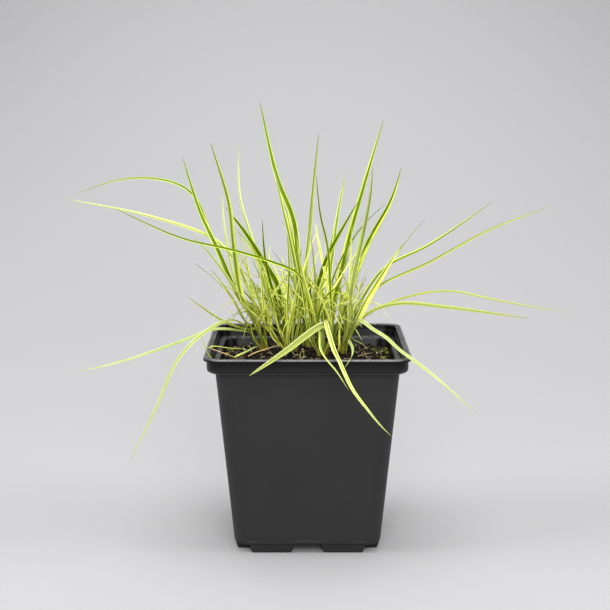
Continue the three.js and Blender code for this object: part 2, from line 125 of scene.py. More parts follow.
# Puts a shape into a mesh with its map and attributes; a piece with a slot rides on the root body, and
# the solids that it stands for are hidden
def makePiece(name, shape, material, slot, replaced=(), uv=None, attributes=None):
    points, quads, triangles = shape
    mesh = bpy.data.meshes.new(name)
    corners = np.concatenate([quads.ravel(), triangles.ravel()])
    sizes = np.concatenate([np.full(len(quads), 4), np.full(len(triangles), 3)])
    starts = np.concatenate([[0], np.cumsum(sizes)[:-1]])
    mesh.vertices.add(len(points))
    mesh.vertices.foreach_set("co", points.astype(np.float32).ravel())
    mesh.loops.add(len(corners))
    mesh.loops.foreach_set("vertex_index", corners.astype(np.int32))
    mesh.polygons.add(len(sizes))
    mesh.polygons.foreach_set("loop_start", starts.astype(np.int32))
    mesh.update(calc_edges=True)
    mesh.shade_smooth()
    if uv is not None:
        layer = mesh.uv_layers.new(name="leafMap")
        layer.data.foreach_set("uv", uv[corners].astype(np.float32).ravel())
    for key, values in (attributes or {}).items():
        attribute = mesh.attributes.new(key, "FLOAT_VECTOR", "POINT")
        attribute.data.foreach_set("vector", values.astype(np.float32).ravel())
    mesh.materials.append(material)
    piece = bpy.data.objects.new(name, mesh)
    bpy.context.collection.objects.link(piece)
    if slot:
        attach(piece, "root")
    if replaced:
        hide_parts(*replaced)
    return piece


# Materials
def newMaterial(name):
    material = bpy.data.materials.new(name)
    material.use_nodes = True
    tree = material.node_tree
    tree.nodes.clear()
    return material, tree


# One node with its inputs: a socket is linked, anything else is set
def node(tree, kind, inputs=(), **settings):
    made = tree.nodes.new(kind)
    for key, value in settings.items():
        setattr(made, key, value)
    for key, value in dict(inputs).items():
        if isinstance(value, bpy.types.NodeSocket):
            tree.links.new(value, made.inputs[key])
        else:
            made.inputs[key].default_value = value
    return made


def mathNode(tree, operation, *values):
    return node(tree, "ShaderNodeMath", dict(enumerate(values)), operation=operation).outputs[0]


def product(tree, first, second):
    return mathNode(tree, "MULTIPLY", first, second)


# A value times its slope, plus what it starts from
def linear(tree, value, slope, start):
    return mathNode(tree, "MULTIPLY_ADD", value, slope, start)


# How far a value is from another, either way
def distanceTo(tree, value, other):
    return mathNode(tree, "ABSOLUTE", mathNode(tree, "SUBTRACT", value, other))


def split(tree, vector):
    return node(tree, "ShaderNodeSeparateXYZ", {0: vector}).outputs


def attributeVector(tree, name):
    return node(tree, "ShaderNodeAttribute", attribute_name=name).outputs["Vector"]


# 0 below the first value, 1 above the second, smooth between them
def smoothStep(tree, value, low, high):
    ranged = node(tree, "ShaderNodeMapRange", {"Value": value, "From Min": low, "From Max": high},
                  interpolation_type="SMOOTHSTEP")
    return ranged.outputs["Result"]


# 0 outside the first and last of four values, 1 between the middle two, smooth on each side
def hump(tree, value, start, full, fading, end):
    return product(tree, smoothStep(tree, value, start, full), smoothStep(tree, value, end, fading))


def mixColours(tree, share, a, b, blend="MIX"):
    mixed = node(tree, "ShaderNodeMix", {0: share, 6: a, 7: b}, data_type="RGBA", blend_type=blend)
    return mixed.outputs[2]


def noise(tree, vector, scale, detail=2.0, roughness=0.5):
    made = node(tree, "ShaderNodeTexNoise",
                {"Vector": vector, "Scale": scale, "Detail": detail, "Roughness": roughness})
    return made.outputs["Fac"]


def bump(tree, height, distance, strength=1.0):
    inputs = {"Height": height, "Distance": distance, "Strength": strength}
    return node(tree, "ShaderNodeBump", inputs).outputs["Normal"]


def surface(tree, colour, roughness, specular=0.5, normal=None):
    inputs = {"Base Color": colour, "Roughness": roughness, "Specular IOR Level": specular}
    if normal:
        inputs["Normal"] = normal
    return node(tree, "ShaderNodeBsdfPrincipled", inputs).outputs[0]


def finishMaterial(tree, shader):
    node(tree, "ShaderNodeOutputMaterial", {"Surface": shader})


def objectPlace(tree):
    return node(tree, "ShaderNodeTexCoord").outputs["Object"]


def leafMap(tree):
    return node(tree, "ShaderNodeUVMap", uv_map="leafMap").outputs[0]


# Camera, floor and light
stageLooks = {
    "lens": 85,
    "sensor": 36,
    "cameraAt": (-0.0016, -0.932, 0.308),
    "cameraDown": 9.4,  # degrees below level
    "floorColour": (0.246, 0.244, 0.248, 1),
    "floorRoughness": 0.7,
    "floorHalf": 4.0,
    "floorFront": -4.0,
    "floorBack": 0.30,  # where the floor begins to rise into the backdrop
    "backdropRadius": 3.2,
    "backdropTop": 4.5,
    "bendRows": 48,
    "world": (0.80, 0.80, 0.82, 1),
    "worldStrength": 0.58,
    "lights": [  # name, place, aims at, size, watts
        ("overhead", (0.0, -0.12, 1.4), (0, -0.1, 0), 1.1, 23),
        ("left", (-1.5, -0.25, 1.0), (0, 0, 0.10), 0.8, 26),
        ("right", (1.5, -0.25, 1.0), (0, 0, 0.10), 0.8, 20),
        ("front", (0.1, -1.9, 1.0), (0, 0, 0.2), 1.2, 60),
        ("backdrop", (0.0, 1.35, 1.25), (0, 1.7, 0.3), 1.3, 17),
    ],
}


# A floor that bends up into a backdrop: a flat run, a quarter circle and a flat wall, each as wide
def makeStage():
    looks = stageLooks
    turn = np.linspace(0, np.pi / 2, looks["bendRows"])
    radius, back = looks["backdropRadius"], looks["floorBack"]
    profileY = np.concatenate([[looks["floorFront"]], back + radius * np.sin(turn), [back + radius]])
    profileZ = np.concatenate([[0.0], radius * (1 - np.cos(turn)), [looks["backdropTop"]]])
    x = np.array([looks["floorHalf"], -looks["floorHalf"]])
    points = np.stack(np.broadcast_arrays(x[None], profileY[:, None], profileZ[:, None]), -1)
    first = np.arange(len(profileY) - 1) * 2
    quads = np.stack([first, first + 2, first + 3, first + 1], -1)
    material, tree = newMaterial("paleBackdrop")
    finishMaterial(tree, surface(tree, looks["floorColour"], looks["floorRoughness"]))
    shape = points.reshape(-1, 3), quads, np.zeros((0, 3), int)
    floor = makePiece("studioFloor", shape, material, None)


def aim(thing, target):
    thing.rotation_euler = (Vector(target) - thing.location).to_track_quat("-Z", "Y").to_euler()


def makeLights():
    world = bpy.data.worlds.new("studio")
    world.use_nodes = True
    background = world.node_tree.nodes["Background"]
    background.inputs["Color"].default_value = stageLooks["world"]
    background.inputs["Strength"].default_value = stageLooks["worldStrength"]
    bpy.context.scene.world = world
    for name, place, target, size, watts in stageLooks["lights"]:
        light = bpy.data.lights.new(name, "AREA")
        light.size = size
        light.energy = watts
        lamp = bpy.data.objects.new(name, light)
        lamp.location = place
        bpy.context.collection.objects.link(lamp)
        aim(lamp, target)


def makeCamera():
    lens = bpy.data.cameras.new("photoCamera")
    lens.lens = stageLooks["lens"]
    lens.sensor_width = stageLooks["sensor"]
    camera = bpy.data.objects.new("photoCamera", lens)
    camera.location = stageLooks["cameraAt"]
    camera.rotation_euler = (radians(90 - stageLooks["cameraDown"]), 0, 0)
    bpy.context.collection.objects.link(camera)
    bpy.context.scene.camera = camera


bpy.context.scene.view_settings.view_transform = "Standard"
makeStage()
makeLights()
makeCamera()
print("stage, lights and camera made")


# Pot
potShape = {
    "height": 0.130,
    "lipHalf": 0.065,
    "bandHalf": 0.063,
    "mouthHalf": 0.061,
    "wallTopHalf": 0.058,
    "wallFootHalf": 0.047,
    "bandFoot": 0.120,
    "lipThick": 0.002,
    "wallThick": 0.0012,
    "floorHeight": 0.005,
    "cornerRadius": 0.011,
    "mouthTighter": 0.003,  # how much less the mouth's corner radius is than the wall's
    "mouthDeep": 0.0036,  # how far down the rim's inside goes before it steps in
    "mouthSteps": (0.0005, 0.0008),  # how far in it has come just there, and at the ledge
    "floorRing": (0.030, 0.6),  # the ring that closes the floor: half width, and share of the corner radius
    "perCorner": 12,
    "perSide": 10,
    "footSpan": (0.009, 0.037),
    "footRound": 3,  # steps round an upright edge
    "footDepth": 0.014,
    "footSlant": 0.0013,
    "footInset": 0.0004,
    "footCorner": (0.0014, 0.0004),  # radius of its upright edges, and the least left in a pocket
    "footEdge": ((0, 0.0005), (0.0001, 0.00015), (0.0004, 0)),  # the sole's round edge: heights and insets
    "bury": 0.0005,
    "drainSides": 24,
    "drainRadius": 0.004,
    "drainRod": (-0.002, 0.004),  # where a cutting rod starts and ends, from the floor's underside
    "drainPlaces": ((0, 0), (0.025, 0.025), (-0.025, 0.025), (-0.025, -0.025), (0.025, -0.025)),
    "sharpFrom": 32,  # degrees from which an edge stays sharp
}


# Half the width of the tapered wall: it grows evenly with the height above the floor
def wallHalf(z):
    pot = potShape
    rise = (z - pot["floorHeight"]) / (pot["bandFoot"] - pot["floorHeight"])
    return pot["wallFootHalf"] + (pot["wallTopHalf"] - pot["wallFootHalf"]) * rise


# Squares with round corners: each point is its corner's centre plus the radius along its own angle,
# and the points along a side run evenly from one corner's centre to the next
def roundedSquares(half, radius, z, perCorner, perSide):
    half, radius, z = (np.asarray(value, float)[:, None] for value in (half, radius, z))
    angle = np.linspace(0, np.pi / 2, perCorner + 1)
    side = 1 - 2 * np.arange(1, perSide) / perSide
    centreX = np.concatenate([np.ones(perCorner + 1), side])
    centreY = np.ones(len(centreX))
    roundX = np.concatenate([np.cos(angle), np.zeros(perSide - 1)])
    roundY = np.concatenate([np.sin(angle), np.ones(perSide - 1)])
    x = (half - radius) * centreX + radius * roundX
    y = (half - radius) * centreY + radius * roundY
    x, y = np.concatenate([x, -y, -x, y], 1), np.concatenate([y, x, -y, -x], 1)
    return np.stack(np.broadcast_arrays(x, y, z), -1)


# A bent line with each corner cut back, by no more than 0.45 of the sides that meet there, and rounded by
# a parabola of five points
def roundedProfile(corners, cut):
    corners = np.asarray(corners, float)
    line = [corners[0]]
    for before, corner, after, back in zip(corners[:-2], corners[1:-1], corners[2:], cut[1:-1]):
        lengths = [np.linalg.norm((before - corner)[:2]), np.linalg.norm((after - corner)[:2])]
        start = corner + (before - corner) * min(0.45, back / lengths[0])
        end = corner + (after - corner) * min(0.45, back / lengths[1])
        t = np.linspace(0, 1, 5)[:, None]
        line.extend((1 - t) ** 2 * start + 2 * (1 - t) * t * corner + t ** 2 * end)
    line.append(corners[-1])
    return np.array(line)


# A foot: rings of a slanted box with round upright edges, from its sole up into the floor. Side says at
# which end of a wall it stands, and quarters by how many quarter turns that wall is turned.
def footBlock(side, quarters, inset, sole, top):
    pot = potShape
    near, far = pot["footSpan"]
    low, high = (near, far) if side > 0 else (-far, -near)
    outer = -wallHalf(pot["floorHeight"]) + pot["footInset"]
    heights = np.array([*(sole + rise for rise, _ in pot["footEdge"]), top])
    tuck = np.array([*(back for _, back in pot["footEdge"]), 0])
    drawn = inset + tuck + pot["footSlant"] * (1 - (heights - sole) / (pot["floorHeight"] - sole))
    halfLong = (high - low) / 2 - drawn
    halfDeep = pot["footDepth"] / 2 - drawn
    widest, least = pot["footCorner"]
    corner = max(widest - inset / 2, least)
    square = roundedSquares(np.ones(4), np.zeros(4), heights, pot["footRound"], 1)
    angle = np.linspace(0, np.pi / 2, pot["footRound"] + 1)
    roundX = np.concatenate([np.cos(angle), -np.sin(angle), -np.cos(angle), np.sin(angle)])
    roundY = np.concatenate([np.sin(angle), np.cos(angle), -np.sin(angle), -np.cos(angle)])
    x = square[..., 0] * (halfLong[:, None] - corner) + corner * roundX + (low + high) / 2
    y = square[..., 1] * (halfDeep[:, None] - corner) + corner * roundY + outer + pot["footDepth"] / 2
    cos, sin = np.round([np.cos(quarters * np.pi / 2), np.sin(quarters * np.pi / 2)])
    return np.stack([x * cos - y * sin, x * sin + y * cos, square[..., 2]], -1)


# All eight feet: two to a wall, and each wall a quarter turn on from the last
def feetShape(inset, sole, top):
    places = [(side, quarters) for quarters in range(4) for side in (-1, 1)]
    rings = np.array([footBlock(side, quarters, inset, sole, top) for side, quarters in places])
    return tubes(rings, rings[:, [0, -1]].mean(2))


# Upright rods where the drain holes are
def drainRods():
    pot = potShape
    turn = np.linspace(0, 2 * np.pi, pot["drainSides"], endpoint=False)
    places = np.array(pot["drainPlaces"])
    z = pot["floorHeight"] + np.array(pot["drainRod"])
    x = places[:, None, None, 0] + pot["drainRadius"] * np.cos(turn)
    y = places[:, None, None, 1] + pot["drainRadius"] * np.sin(turn)
    rings = np.stack(np.broadcast_arrays(x, y, z[None, :, None]), -1)
    return tubes(rings, rings.mean(2))


# The shell's profile as half width, height, corner radius and how far its bend is cut back: outside, over
# the rim and down inside
def potRings():
    pot = potShape
    floor, band, top, radius = pot["floorHeight"], pot["bandFoot"], pot["height"], pot["cornerRadius"]
    thick, mouth, mouthRadius = pot["wallThick"], pot["mouthHalf"], radius - pot["mouthTighter"]
    lipFoot = top - pot["lipThick"]
    mouthFoot = top - pot["mouthDeep"]
    innerLedge = band + thick
    innerFloor = floor + thick
    stepped, atLedge = (mouth - step for step in pot["mouthSteps"])
    closing, closingRadius = pot["floorRing"][0], radius * pot["floorRing"][1]
    profile = np.array([
        (closing, floor, closingRadius, 0),
        (wallHalf(floor), floor, radius, 0.0024),
        (pot["wallTopHalf"], band, radius, 0.0006),
        (pot["bandHalf"], band, radius, 0.0030),
        (pot["bandHalf"], lipFoot, radius, 0.0005),
        (pot["lipHalf"], lipFoot, radius, 0.0004),
        (pot["lipHalf"], top, radius, 0.0007),
        (mouth, top, mouthRadius, 0.0008),
        (mouth, mouthFoot, mouthRadius, 0.0002),
        (stepped, mouthFoot, mouthRadius, 0.0002),
        (atLedge, innerLedge, mouthRadius, 0.0012),
        (pot["wallTopHalf"] - thick, innerLedge, radius - thick, 0.0008),
        (wallHalf(innerFloor) - thick, innerFloor, radius - thick, 0.002),
        (closing, innerFloor, closingRadius, 0),
    ])
    half, z, corner = roundedProfile(profile[:, :3], profile[:, 3]).T
    return roundedSquares(half, corner, z, pot["perCorner"], pot["perSide"])


# Pot plastic. Every mask comes from a place's height z and from how far it stands out from the middle,
# which is the larger of |x| and |y|. The wall is a mix of two greys by a cloudy noise. The band is painted
# darker than the grained wall, as painted shade and dark reflection under the lip that lightens down the
# band, and the inside is painted darkest, as painted shade in the pot's hollow. Painted highlights lie on
# the edges of band and rim and along faint moulded lines over the feet. Light speckles lie on the rim's
# top, dust lightened to stand also for its sheen, and on the ledge inside as a painted highlight. Each
# pair or four of places is where a mask begins, is full, begins to fade and has gone.
potLooks = {
    "wall": (0.0125, 0.0125, 0.0128, 1),
    "wallWorn": (0.0175, 0.0175, 0.0178, 1),
    # band and bandLow: painted shade and dark reflection, darkest under the lip and lighter down the band
    "band": (0.0014, 0.0014, 0.0015, 1),
    "bandLow": (0.0085, 0.0085, 0.0087, 1),
    # edge: a painted highlight on the band's rounded foot and on the rim's front edge
    "edge": (0.125, 0.125, 0.128, 1),
    # inside: painted shade, the inner faces and the ledge near black as in the pot's hollow
    "inside": (0.0006, 0.0006, 0.0007, 1),
    # light speckles: dust on the rim's top, lightened to stand also for its sheen, and a painted highlight on
    # the ledge
    "dustAndHighlight": (0.080, 0.080, 0.082, 1),
    # mouldLineHighlight: a painted highlight where small moulded steps over the feet catch light
    "mouldLineHighlight": (0.060, 0.060, 0.062, 1),
    "bandFrom": (0.1203, 0.1216),
    "bandShadeFade": (0.1270, 0.1210),  # down the band, from its darkest painted shade to its lower colour
    "bandEdge": (0.1199, 0.1202, 0.1206, 0.1211),
    "bandHighlightShare": 0.2,
    "rimTop": (0.1290, 0.1295),
    "rimOut": (0.0639, 0.0643),
    "ledge": (0.1206, 0.1210, 0.1214, 0.1219),
    "ledgeOut": 0.0606,
    "inward": -0.010,  # how far a face has to look back to the middle to be an inner one, which is painted in shade
    "rimSpeckled": (0.1290, 0.1298),
    "rimDustAndHighlight": (0.40, 0.62),
    "ledgeHighlight": (0.42, 0.60),
    "arch": (-9.0, 0.0085),  # the painted highlight line of the moulding between the feet: fall by the distance squared, and height
    "archReach": (0.0090, 0.0060),
    "sideLine": (0.0350, 0.0078),  # the short line over each foot: distance from the middle, and height
    "sideReach": (0.0030, 0.0015),
    "lineHalf": (0.00035, 0.00010),
    "lineShare": 0.6,
    "roughness": (0.10, 0.44),
    "smoother": -0.16,  # what the band and the inside take off the roughness
    "dustAndHighlightRougher": 0.25,
    "specular": 0.16,
    "grain": (0.00006, 0.6),  # depth and strength
    "grainNoise": (1100, 3),  # each noise: scale, detail and roughness
    "cloudNoise": (22, 4, 0.6),
    "speckleNoise": (420, 4, 0.7),
}


# How far a place is in the painted highlight lines over the feet, where light catches small moulded steps: an
# arch in the middle and a short piece at each side
def mouldLineHighlights(tree, z, sideways):
    looks = potLooks
    alongPiece, level = looks["sideLine"]
    arch = linear(tree, product(tree, sideways, sideways), *looks["arch"])
    middle = product(tree, smoothStep(tree, distanceTo(tree, z, arch), *looks["lineHalf"]),
                     smoothStep(tree, sideways, *looks["archReach"]))
    side = product(tree, smoothStep(tree, distanceTo(tree, z, level), *looks["lineHalf"]),
                   smoothStep(tree, distanceTo(tree, sideways, alongPiece), *looks["sideReach"]))
    return product(tree, mathNode(tree, "MAXIMUM", middle, side), looks["lineShare"])


# How far a face looks outwards: its normal times its place from the upright through the middle
def outwardness(tree, place):
    flat = node(tree, "ShaderNodeVectorMath", {0: place, 1: (1, 1, 0)}, operation="MULTIPLY").outputs[0]
    faces = node(tree, "ShaderNodeNewGeometry").outputs["True Normal"]
    both = node(tree, "ShaderNodeVectorMath", {0: flat, 1: faces}, operation="DOT_PRODUCT")
    return both.outputs["Value"]


def potMaterial():
    looks = potLooks
    material, tree = newMaterial("blackPotPlastic")
    place = objectPlace(tree)
    x, y, z = split(tree, place)
    x, y = mathNode(tree, "ABSOLUTE", x), mathNode(tree, "ABSOLUTE", y)
    out, sideways = mathNode(tree, "MAXIMUM", x, y), mathNode(tree, "MINIMUM", x, y)
    grain = noise(tree, place, *looks["grainNoise"])
    cloud = noise(tree, place, *looks["cloudNoise"])
    speckle = noise(tree, place, *looks["speckleNoise"])
    colour = mixColours(tree, cloud, looks["wall"], looks["wallWorn"])
    # The band is painted darker, as painted shade under the lip, lighter towards its foot
    onBand = smoothStep(tree, z, *looks["bandFrom"])
    band = mixColours(tree, smoothStep(tree, z, *looks["bandShadeFade"]), looks["band"], looks["bandLow"])
    colour = mixColours(tree, onBand, colour, band)
    # Painted highlights: a light line on the band's rounded foot and on the rim's front edge
    bandEdge = product(tree, hump(tree, z, *looks["bandEdge"]), looks["bandHighlightShare"])
    rimHighlight = product(tree, smoothStep(tree, z, *looks["rimTop"]), smoothStep(tree, out, *looks["rimOut"]))
    colour = mixColours(tree, mathNode(tree, "MAXIMUM", bandEdge, rimHighlight), colour, looks["edge"])
    # The inner faces and the ledge are painted near black, as painted shade in the pot's hollow
    ledge = product(tree, mathNode(tree, "LESS_THAN", out, looks["ledgeOut"]), hump(tree, z, *looks["ledge"]))
    inner = mathNode(tree, "LESS_THAN", outwardness(tree, place), looks["inward"])
    inward = mathNode(tree, "MAXIMUM", inner, ledge)
    colour = mixColours(tree, inward, colour, looks["inside"])
    # Speckles of dust on the rim's top, lightened as painted sheen, and of painted highlight on the ledge
    # inside
    onRim = smoothStep(tree, z, *looks["rimSpeckled"])
    rimDustAndHighlight = product(tree, onRim, smoothStep(tree, speckle, *looks["rimDustAndHighlight"]))
    ledgeHighlight = product(tree, ledge, smoothStep(tree, speckle, *looks["ledgeHighlight"]))
    dustAndHighlight = mathNode(tree, "MAXIMUM", rimDustAndHighlight, ledgeHighlight)
    colour = mixColours(tree, dustAndHighlight, colour, looks["dustAndHighlight"])
    # Painted highlight lines over the feet
    colour = mixColours(tree, mouldLineHighlights(tree, z, sideways), colour, looks["mouldLineHighlight"])
    smooth = mathNode(tree, "MAXIMUM", onBand, inward)
    roughness = linear(tree, smooth, looks["smoother"], linear(tree, cloud, *looks["roughness"]))
    roughness = linear(tree, dustAndHighlight, looks["dustAndHighlightRougher"], roughness)
    normal = bump(tree, grain, *looks["grain"])
    finishMaterial(tree, surface(tree, colour, roughness, looks["specular"], normal))
    return material


def cutOrJoin(piece, other, operation):
    modifier = piece.modifiers.new("join", "BOOLEAN")
    modifier.object = other
    modifier.operation = operation
    modifier.solver = "EXACT"
    modifier.use_self = True
    graph = bpy.context.evaluated_depsgraph_get()
    made = bpy.data.meshes.new_from_object(piece.evaluated_get(graph))
    piece.modifiers.clear()
    piece.data = made
    bpy.data.objects.remove(other)


def makePot():
    pot = potShape
    material = potMaterial()
    rings = potRings()[None]
    shell = makePiece("nurseryPot", tubes(rings, rings[:, [0, -1]].mean(2)), material, "pot", ("pot",))
    top = pot["floorHeight"] + pot["bury"]
    cutOrJoin(shell, makePiece("feet", feetShape(0, 0, top), material, None), "UNION")
    pockets = feetShape(pot["wallThick"], pot["wallThick"], top + pot["wallThick"])
    cutOrJoin(shell, makePiece("pockets", pockets, material, None), "DIFFERENCE")
    cutOrJoin(shell, makePiece("drains", drainRods(), material, None), "DIFFERENCE")
    shell.data.shade_smooth()
    shell.data.set_sharp_from_angle(angle=radians(pot["sharpFrom"]))
    return shell


makePot()
print("pot made")


# Soil
soilShape = {
    "edge": 0.1145,
    "mound": 0.0085,
    "reach": (0.062, 0.058),
    "gap": 0.0003,
    "octaves": ((11.0, 0.75), (6.1, 0.5), (3.3, 0.34), (1.9, 0.2)),  # lengths and heights in mm
    "lumpy": 0.7,  # the power of the crumbling's waves: under one, they swell into lumps
    "sideRings": 12,
    "sideEnd": 0.001,  # how far under the edge the rings up the side end
    "innermost": 0.015,  # the last ring's size as a share of the first's
    "topRings": 90,
    "perCorner": 8,
    "perSide": 60,
    "seed": 4,
}
# The oval that the tillers stand in
crown = {"x": -0.002, "y": 0.009, "halfX": 0.031, "halfY": 0.023, "tillers": 40}


# A low mound round the crown, which falls as a bell does, with two crossed waves and a slanted one of low
# lumps: the same surface as the solid's
def soilHeight(x, y):
    soil = soilShape
    far = ((x - crown["x"]) / soil["reach"][0]) ** 2 + ((y - crown["y"]) / soil["reach"][1]) ** 2
    x, y = x / mm, y / mm
    broad = 0.5 * np.sin(0.33 * x + 0.9) * np.sin(0.29 * y + 0.4)
    small = 0.3 * np.sin(0.71 * x - 0.53 * y)
    return soil["edge"] + soil["mound"] * np.exp(-1.6 * far) + (broad + small) * mm


# Crumbling: for each wave length, two products of crossed sines of seeded direction and place, each raised
# to the power that makes it lumpy
def crumbling(x, y):
    draw = np.random.default_rng(soilShape["seed"])
    height = np.zeros(np.broadcast(x, y).shape)
    for length, high in soilShape["octaves"]:
        for turn in draw.uniform(0, np.pi, 2):
            place = draw.uniform(0, 2 * np.pi, 2)
            along = (x * np.cos(turn) + y * np.sin(turn)) / mm
            across = (y * np.cos(turn) - x * np.sin(turn)) / mm
            wave = np.sin(2 * np.pi * along / length + place[0])
            wave = wave * np.sin(2 * np.pi * across / length + place[1])
            height += 0.5 * high * mm * np.sign(wave) * np.abs(wave) ** soilShape["lumpy"]
    return height


# Potting soil: near black, with brown patches and lighter grains where the noise of each is high. The
# attribute looks holds for each crumb or fibre how light it is (x) and how mossy (y); the root ball has
# none and so keeps to the dark tones. Each pair is where a mask begins and is full.
soilLooks = {
    "dark": (0.0012, 0.0009, 0.0007, 1),
    "brown": (0.022, 0.014, 0.008, 1),
    "grain": (0.26, 0.18, 0.10, 1),
    "straw": (0.74, 0.62, 0.36, 1),
    "moss": (0.36, 0.40, 0.05, 1),
    "patches": (0.42, 0.75),
    "grains": (0.62, 0.70),
    "browner": (0.3, 0.7),
    "paler": (0.7, 1.0),
    "roughness": 0.9,
    "specular": 0.08,
    "grainDepth": 0.0006,
    "grainNoise": (900, 5, 0.7),  # scale, detail and roughness
    "patchNoise": (170, 3, 0.6),
}


def soilMaterial():
    looks = soilLooks
    material, tree = newMaterial("pottingSoil")
    place = objectPlace(tree)
    light, mossy, _ = split(tree, attributeVector(tree, "looks"))
    grain = noise(tree, place, *looks["grainNoise"])
    patch = noise(tree, place, *looks["patchNoise"])
    colour = mixColours(tree, smoothStep(tree, patch, *looks["patches"]), looks["dark"], looks["brown"])
    colour = mixColours(tree, smoothStep(tree, grain, *looks["grains"]), colour, looks["grain"])
    colour = mixColours(tree, smoothStep(tree, light, *looks["browner"]), colour, looks["brown"])
    colour = mixColours(tree, smoothStep(tree, light, *looks["paler"]), colour, looks["straw"])
    colour = mixColours(tree, mossy, colour, looks["moss"])
    normal = bump(tree, grain, looks["grainDepth"])
    finishMaterial(tree, surface(tree, colour, looks["roughness"], looks["specular"], normal))
    return material


# The root ball: rounded squares up the pot's inside, and then ever smaller ones over the top
def makeSoil(material):
    pot, soil = potShape, soilShape
    inset = pot["wallThick"] + soil["gap"]
    bottom = pot["floorHeight"] + inset
    radius = pot["cornerRadius"] - inset
    side = np.linspace(bottom, soil["edge"] - soil["sideEnd"], soil["sideRings"])
    corners = np.full(len(side), radius)
    sideRings = roundedSquares(wallHalf(side) - inset, corners, side, soil["perCorner"], soil["perSide"])
    share = np.linspace(1, soil["innermost"], soil["topRings"])
    top = (wallHalf(soil["edge"]) - inset) * share
    topRings = roundedSquares(top, radius * share, 0 * share, soil["perCorner"], soil["perSide"])
    x, y = topRings[..., 0], topRings[..., 1]
    topRings[..., 2] = soilHeight(x, y) + crumbling(x, y)
    rings = np.concatenate([sideRings, topRings])[None]
    makePiece("rootBall", tubes(rings, rings[:, [0, -1]].mean(2)), material, "soil", ("soil",))


# Crumbs, fibres and moss on the soil
litterLooks = {
    "half": 0.0545,  # how far from the middle they lie, with the corners cut round
    "corner": 0.009,
    "crumbs": 2600,
    "crumbSize": (0.0004, 0.0019),
    "crumbLift": 0.22,  # how far a lump's middle stands over the soil, as a share of its size
    "crumbLight": 0.78,
    "crumbPowers": (3, 1.6),  # of the draws for size and light: over one, so that most are small and dark
    "paleCrumbs": (0.965, 0.5),  # the draw from which a crumb is pale, and how much lighter it is
    "mossTufts": ((50, 6, 1.8), (54, 26, 2.6), (46, 31, 2.0), (55, 38, 2.4), (-54, 20, 2.2),
                  (-50, 36, 2.4), (-12, -30, 2.6), (30, -38, 2.6)),  # place and spread in mm
    "lumpsPerTuft": 34,
    "mossSize": (0.0004, 0.0010),
    "mossLift": 0.5,
    "mossGreen": (0.15, 1.0),
    "fibres": 420,
    "fibreRows": 7,
    "fibreSides": 4,
    "fibreLength": (0.002, 0.009),
    "fibreThick": (0.00006, 0.00014),
    "fibreBend": 1.1,
    "fibreLift": 0.0003,
    "fibreArch": (0, 0.0012),
    "fibreTaper": 0.5,
    "fibreLight": (0.55, 1.05),
    "seed": 11,
}


# Places drawn evenly over the soil, kept off the round corners
def drawOnSoil(draw, count):
    looks = litterLooks
    x, y = draw.uniform(-looks["half"], looks["half"], (2, 2 * count))
    past = np.maximum(np.stack([np.abs(x), np.abs(y)]) - looks["half"] + looks["corner"], 0)
    inside = np.flatnonzero(np.hypot(*past) < looks["corner"])[:count]
    return x[inside], y[inside]


# Points on the soil: its height, plus the crumbling and a lift
def onSoil(x, y, lift):
    return np.stack([x, y, soilHeight(x, y) + crumbling(x, y) + lift], -1)


# Each of the next three gives a shape and how light, or how mossy, each of its lumps or fibres is. Crumbs
# lie anywhere: size and light grow with a power of a draw, and past a high draw one is pale.
def soilCrumbs(draw):
    looks = litterLooks
    count = looks["crumbs"]
    least, most = looks["crumbSize"]
    smaller, darker = looks["crumbPowers"]
    x, y = drawOnSoil(draw, count)
    sizes = least + (most - least) * draw.uniform(0, 1, count) ** smaller
    shape = lumps(onSoil(x, y, looks["crumbLift"] * sizes), sizes, draw)
    light = looks["crumbLight"] * draw.uniform(0, 1, count) ** darker
    palest, lighter = looks["paleCrumbs"]
    return shape, light + lighter * (draw.uniform(0, 1, count) > palest)


# Moss: small lumps about the middle of each tuft, spread as a bell curve is
def mossTufts(draw):
    looks = litterLooks
    tufts = np.array(looks["mossTufts"]) * mm
    spread = draw.normal(size=(len(tufts), 2, looks["lumpsPerTuft"]))
    x, y = (tufts[:, :2, None] + tufts[:, 2, None, None] * spread).transpose(1, 0, 2)
    x, y = (np.clip(value.ravel(), -looks["half"], looks["half"]) for value in (x, y))
    sizes = draw.uniform(*looks["mossSize"], len(x))
    shape = lumps(onSoil(x, y, looks["mossLift"] * sizes), sizes, draw)
    return shape, draw.uniform(*looks["mossGreen"], len(x))


# Fibres head their own way and bend evenly, and arch by a sine a little above the soil. Where they are
# held back at the edge, a hair more along each keeps its points apart.
def soilFibres(draw):
    looks = litterLooks
    count, rows = looks["fibres"], looks["fibreRows"]
    along = np.linspace(0, 1, rows)
    x, y = drawOnSoil(draw, count)
    long = draw.uniform(*looks["fibreLength"], count)[:, None] / rows
    heading = draw.uniform(0, 2 * np.pi, count)[:, None]
    heading = heading + draw.normal(0, looks["fibreBend"], count)[:, None] * along
    x = x[:, None] + np.cumsum(np.cos(heading), 1) * long
    y = y[:, None] + np.cumsum(np.sin(heading), 1) * long
    x, y = (np.clip(value, -looks["half"], looks["half"]) + 1e-6 * along for value in (x, y))
    points = onSoil(x, y, looks["fibreLift"])
    points[..., 2] += draw.uniform(*looks["fibreArch"], count)[:, None] * np.sin(np.pi * along)
    radii = draw.uniform(*looks["fibreThick"], count)[:, None] * (1 - looks["fibreTaper"] * along)
    return tubesAlong(points, radii, looks["fibreSides"]), draw.uniform(*looks["fibreLight"], count)


def makeLitter(material):
    draw = np.random.default_rng(litterLooks["seed"])
    made = soilCrumbs(draw), mossTufts(draw), soilFibres(draw)
    values = [np.repeat(amounts, len(shape[0]) // len(amounts))[:, None] * axis
              for (shape, amounts), axis in zip(made, np.eye(3)[[0, 1, 0]])]
    litter = joined([shape for shape, _ in made])
    makePiece("soilLitter", litter, material, "soil", attributes={"looks": np.concatenate(values)})


soilFinish = soilMaterial()
makeSoil(soilFinish)
makeLitter(soilFinish)
print("soil made")


